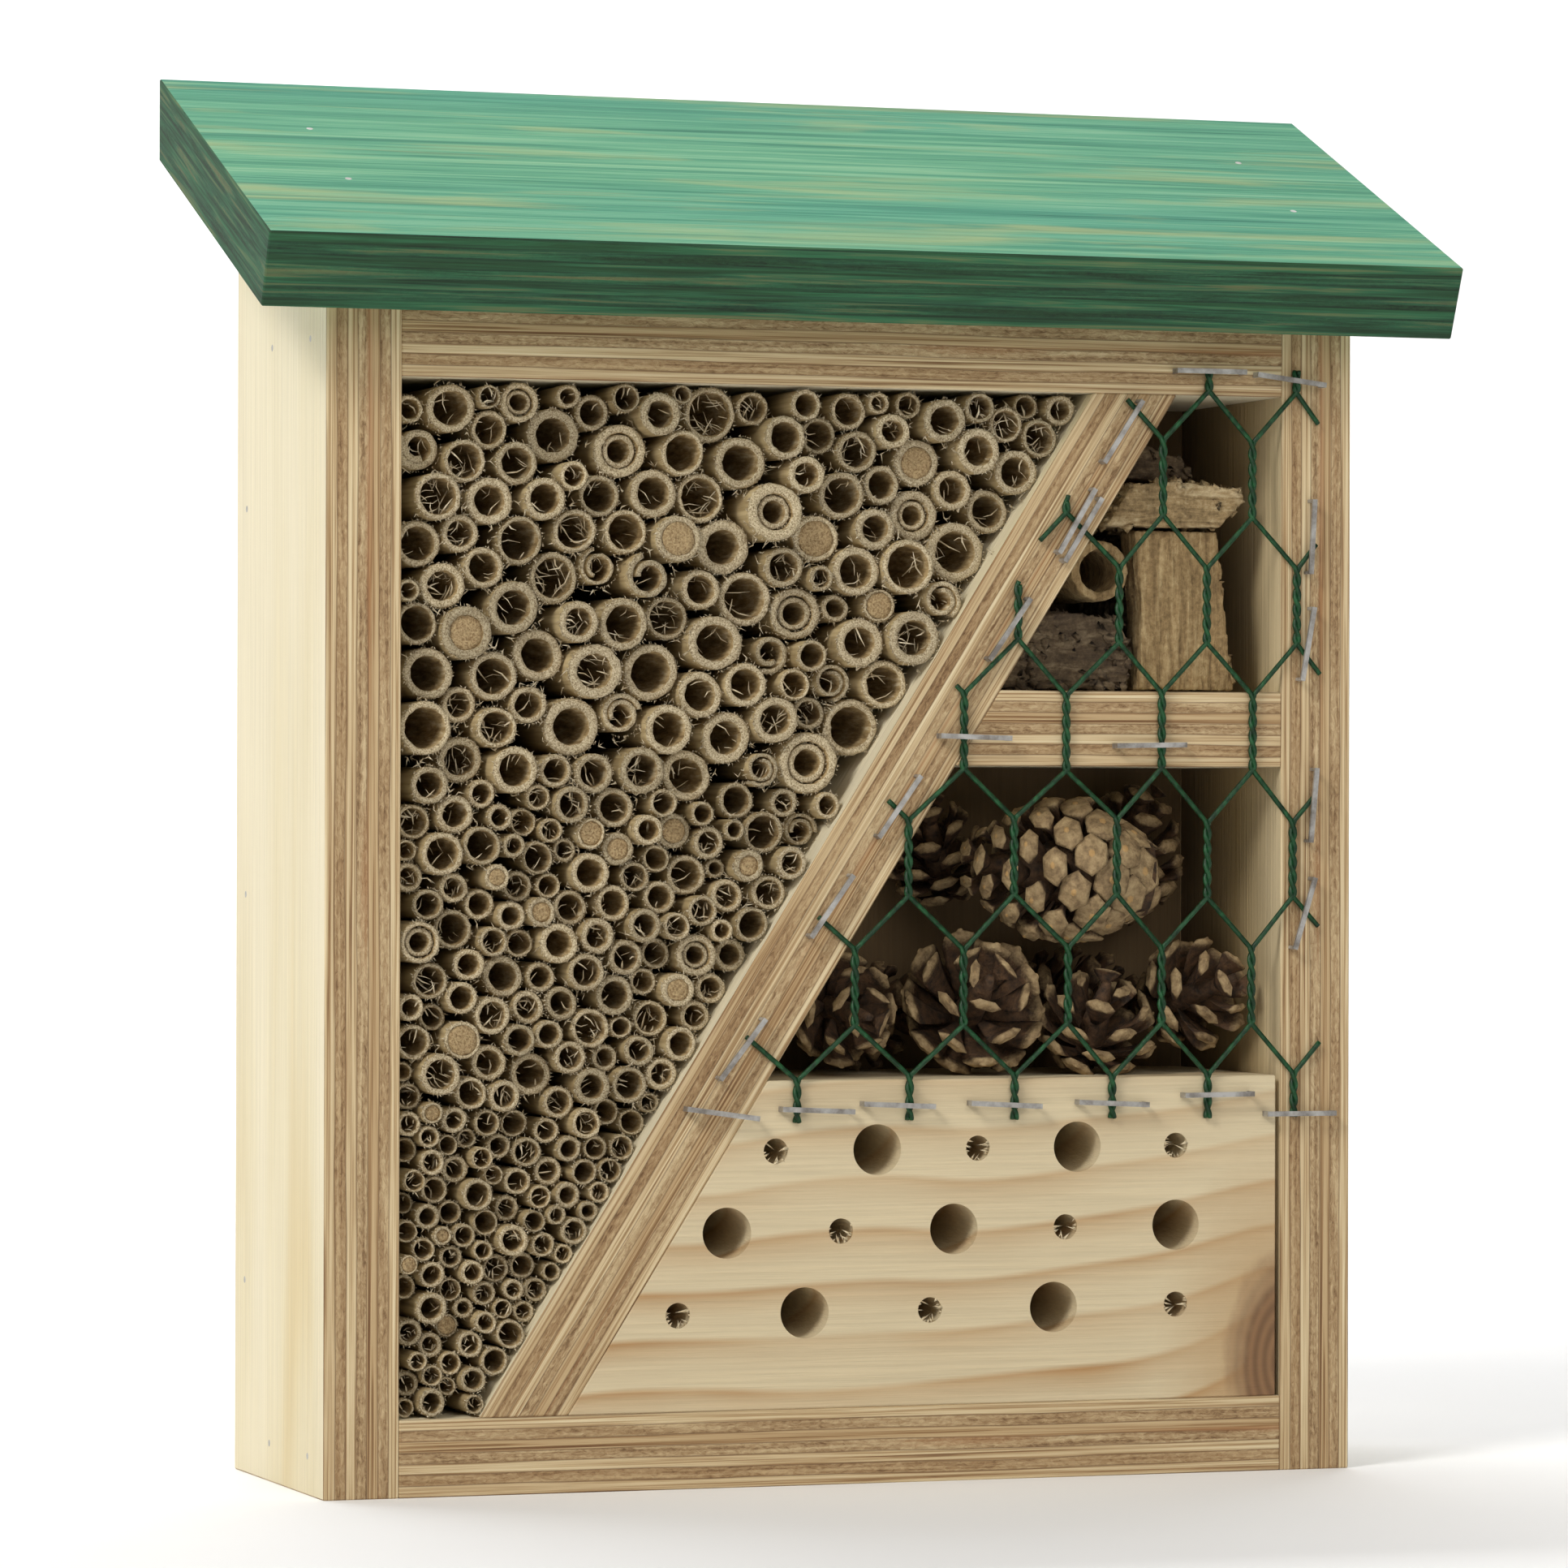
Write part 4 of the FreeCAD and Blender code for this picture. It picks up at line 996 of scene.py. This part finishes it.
def make_cones(material):
    for number, (node, look) in enumerate(CONES.items()):
        make_cone(node, look, material, 500 + number)


# ---- bark and driftwood ----
BARK_CELL = 0.62 * MM


def fine_copy(node, name):
    """A copy of a plain CAD solid, remeshed into small cells with its edges worn round."""
    piece = bpy.data.objects.new(name, frame["nodes"][node].data.copy())
    bpy.context.scene.collection.objects.link(piece)
    work = bmesh.new()
    work.from_mesh(piece.data)
    bmesh.ops.remove_doubles(work, verts=work.verts, dist=1e-6)
    work.to_mesh(piece.data)
    work.free()
    remesh = piece.modifiers.new("fine", "REMESH")
    remesh.mode = "VOXEL"
    remesh.voxel_size = BARK_CELL
    remesh.use_smooth_shade = True
    smooth = piece.modifiers.new("worn", "SMOOTH")
    smooth.iterations = 7
    smooth.factor = 0.5
    graph = bpy.context.evaluated_depsgraph_get()
    mesh = bpy.data.meshes.new_from_object(piece.evaluated_get(graph))
    piece.modifiers.clear()
    piece.data = mesh
    return piece


def rough_hewn(node, material, grain, depth, ridge):
    """A piece weathered by ridges along the grain, about as deep as the depth and with the ridge
    noise's own number of cells to a metre."""
    piece = fine_copy(node, node + "_weathered")
    mesh = piece.data
    for vertex in mesh.vertices:
        place = vertex.co
        stretched = Vector([part * scale for part, scale in zip(place, grain)])
        ridges = abs(noise.fractal(stretched * ridge, 0.9, 2.1, 4))
        lumps = noise.fractal(place * 90.0, 1.0, 2.0, 3)
        vertex.co = place - vertex.normal * depth * (0.55 * ridges + 0.30 * (0.5 + lumps) + 0.05)
    mesh.materials.clear()
    mesh.materials.append(material)
    mesh.polygons.foreach_set("use_smooth", [True] * len(mesh.polygons))
    mesh.update()
    settle(piece, [node])


def make_bark():
    tan = weathered_wood("bark_tan", (60.0, 60.0, 420.0), [
        (0.085, 0.050, 0.020), (0.34, 0.235, 0.11), (0.60, 0.48, 0.29),
    ])
    upright = weathered_wood("bark_upright", (520.0, 520.0, 45.0), [
        (0.11, 0.065, 0.025), (0.31, 0.205, 0.090), (0.50, 0.37, 0.19),
    ])
    dark = weathered_wood("driftwood_dark", (70.0, 70.0, 380.0), [
        (0.030, 0.018, 0.010), (0.105, 0.070, 0.038), (0.23, 0.17, 0.10),
    ])
    rough_hewn("bark_slab", tan, (0.25, 0.25, 1.0), 2.6 * MM, 520.0)
    rough_hewn("bark_plank", upright, (1.0, 1.0, 0.12), 1.6 * MM, 620.0)
    rough_hewn("hollow_branch", upright, (1.0, 0.2, 1.0), 1.0 * MM, 420.0)
    rough_hewn("driftwood_chunk", dark, (0.25, 0.4, 1.0), 3.4 * MM, 380.0)
    rough_hewn("back_chunk", dark, (1.0, 1.0, 0.2), 2.4 * MM, 400.0)
    rough_hewn("bark_offcut", dark, (0.4, 0.4, 1.0), 2.6 * MM, 460.0)


# ---- splinters at the small holes ----
def splinter_material():
    graph = Graph("splinter", 0.8)
    fine = graph.noise(graph.place(), (300.0, 300.0, 1500.0), detail=3.0)
    return graph.done(graph.ramp(fine, [(0.3, (0.52, 0.40, 0.23)), (0.7, (0.80, 0.70, 0.49))]))


def make_splinters():
    """Torn fibres left by the drill at the mouths of the small holes."""
    dice = random.Random(31)
    shape = Shape()
    for opening in frame["record"]["physics"]["openings"]:
        low, high = (Vector(corner) for corner in opening["box_m"])
        if not opening["name"].startswith("drilled_hole") or high.x - low.x > SMALL_HOLE_BOX:
            continue
        x, z = (low.x + high.x) / 2, (low.z + high.z) / 2
        for _ in range(dice.randint(14, 20)):
            turn = dice.choice((0.0, math.pi, -0.5 * math.pi)) + dice.gauss(0, 0.45)
            out = Vector((math.cos(turn), 0, math.sin(turn)))
            root = Vector((x, FRONT_Y + dice.uniform(0.1, 0.8) * MM, z))
            root += out * SMALL_HOLE_RADIUS * dice.uniform(0.98, 1.03)
            inward = -out * dice.uniform(0.4, 1.0)
            inward += Vector((dice.uniform(-0.5, 0.5), -dice.uniform(0.0, 0.35), dice.uniform(-0.25, 0.25)))
            shape.spike(root, root + inward * dice.uniform(1.0, 2.9) * MM, dice.uniform(0.2, 0.65) * MM)
    shape.build("hole_splinters", [splinter_material()], [])


# ---- stage ----
def paint(node, material):
    """Puts one material on a CAD node."""
    frame["nodes"][node].data.materials.clear()
    frame["nodes"][node].data.materials.append(material)


def make_stage():
    """A pale floor that curves up into a backdrop, so that no horizon shows."""
    front, bend_start, bend, top, half_width, steps = -3.2, 1.5, 0.9, 3.2, 5.0, 24
    profile = [(front, 0.0), (bend_start, 0.0)]
    for step in range(1, steps + 1):
        turn = math.pi / 2 * step / steps
        profile.append((bend_start + bend * math.sin(turn), bend - bend * math.cos(turn)))
    profile.append((bend_start + bend, top))
    shape = [(side, y, z) for side in (-half_width, half_width) for y, z in profile]
    count = len(profile)
    faces = [(i, i + 1, count + i + 1, count + i) for i in range(count - 1)]
    mesh = bpy.data.meshes.new("floor")
    mesh.from_pydata(shape, [], faces)
    mesh.polygons.foreach_set("use_smooth", [True] * len(faces))
    graph = Graph("pale_floor", 0.9)
    fine = graph.noise(graph.place(), (6.0, 6.0, 6.0), detail=2.0)
    graph.done(graph.ramp(fine, [(0.3, (0.93, 0.93, 0.93)), (0.7, (0.95, 0.95, 0.95))]))
    mesh.materials.append(graph.material)
    floor = bpy.data.objects.new("floor", mesh)
    bpy.context.scene.collection.objects.link(floor)


def area_light(name, place, target, size, power, color=(1.0, 1.0, 1.0)):
    data = bpy.data.lights.new(name, "AREA")
    data.shape = "RECTANGLE"
    data.size, data.size_y = size
    data.energy = power
    data.color = color
    lamp = bpy.data.objects.new(name, data)
    lamp.location = place
    lamp.rotation_euler = (Vector(target) - Vector(place)).to_track_quat("-Z", "Y").to_euler()
    bpy.context.scene.collection.objects.link(lamp)


# Each light's name, place, target, size and power, and its colour where it isn't white.
LIGHTS = [
    ("key", (-1.75, -1.15, 1.75), (0.0, 0.0, 0.17), (0.8, 0.8), 38.0, (1.0, 0.975, 0.93)),
    ("fill", (0.1, -2.3, 1.1), (0.0, 0.0, 0.15), (1.2, 1.2), 15.0, (1.0, 0.98, 0.94)),
    ("over", (0.0, 0.2, 2.2), (0.0, 0.0, 0.2), (1.6, 1.6), 5.0),
    ("wall_wash", (0.0, 1.2, 2.4), (0.0, 2.4, 0.5), (3.0, 0.6), 60.0),
]
SKY_STRENGTH = 0.20


def make_lights():
    world = bpy.data.worlds.new("soft_sky")
    world.use_nodes = True
    background = world.node_tree.nodes["Background"]
    background.inputs["Color"].default_value = (1.0, 1.0, 1.0, 1.0)
    background.inputs["Strength"].default_value = SKY_STRENGTH
    bpy.context.scene.world = world
    for light in LIGHTS:
        area_light(*light)


CAMERA_PLACE = (-0.5404, FRONT_Y - 1.4954, 0.1580)
CAMERA_TURNS = (19.30, 0.236, 0.144)
CAMERA_LENS = 155.1988


def make_camera():
    """A long lens a metre and a half in front, to the left and at about half the object's height."""
    data = bpy.data.cameras.new("camera")
    data.sensor_width = 36.0
    data.lens = CAMERA_LENS
    data.clip_start, data.clip_end = 0.05, 20.0
    camera = bpy.data.objects.new("camera", data)
    yaw, pitch, roll = (math.radians(turn) for turn in CAMERA_TURNS)
    forward = Vector((math.sin(yaw) * math.cos(pitch), math.cos(yaw) * math.cos(pitch), math.sin(pitch)))
    right = Vector((math.cos(yaw), -math.sin(yaw), 0.0))
    up = right.cross(forward)
    tilted_right = right * math.cos(roll) + up * math.sin(roll)
    tilted_up = up * math.cos(roll) - right * math.sin(roll)
    turn = Matrix((tilted_right, tilted_up, -forward)).transposed().to_4x4()
    camera.matrix_world = Matrix.Translation(CAMERA_PLACE) @ turn
    bpy.context.scene.collection.objects.link(camera)
    bpy.context.scene.camera = camera


def paint_cad():
    """Materials for the CAD nodes that stay visible."""
    for board, wood in board_materials().items():
        paint(board, wood)
    staple_metal = metal("staple_metal", (0.20, 0.18, 0.16), (0.50, 0.49, 0.47), 160.0, 0.40)
    plate_metal = metal("plate_metal", (0.42, 0.42, 0.43), (0.66, 0.67, 0.68), 260.0, 0.38)
    for node in frame["nodes"]:
        if node.endswith(("staples", "brads")):
            paint(node, staple_metal)
        elif node.startswith("hanger"):
            paint(node, plate_metal)


bpy.context.scene.view_settings.view_transform = "Standard"
make_camera()
make_stage()
make_lights()
paint_cad()
make_reeds([reed_skin(), reed_rim(), reed_bore(), fibre(), pith()])
make_netting(coated_wire())
make_cones(cone_scale())
make_bark()
make_splinters()
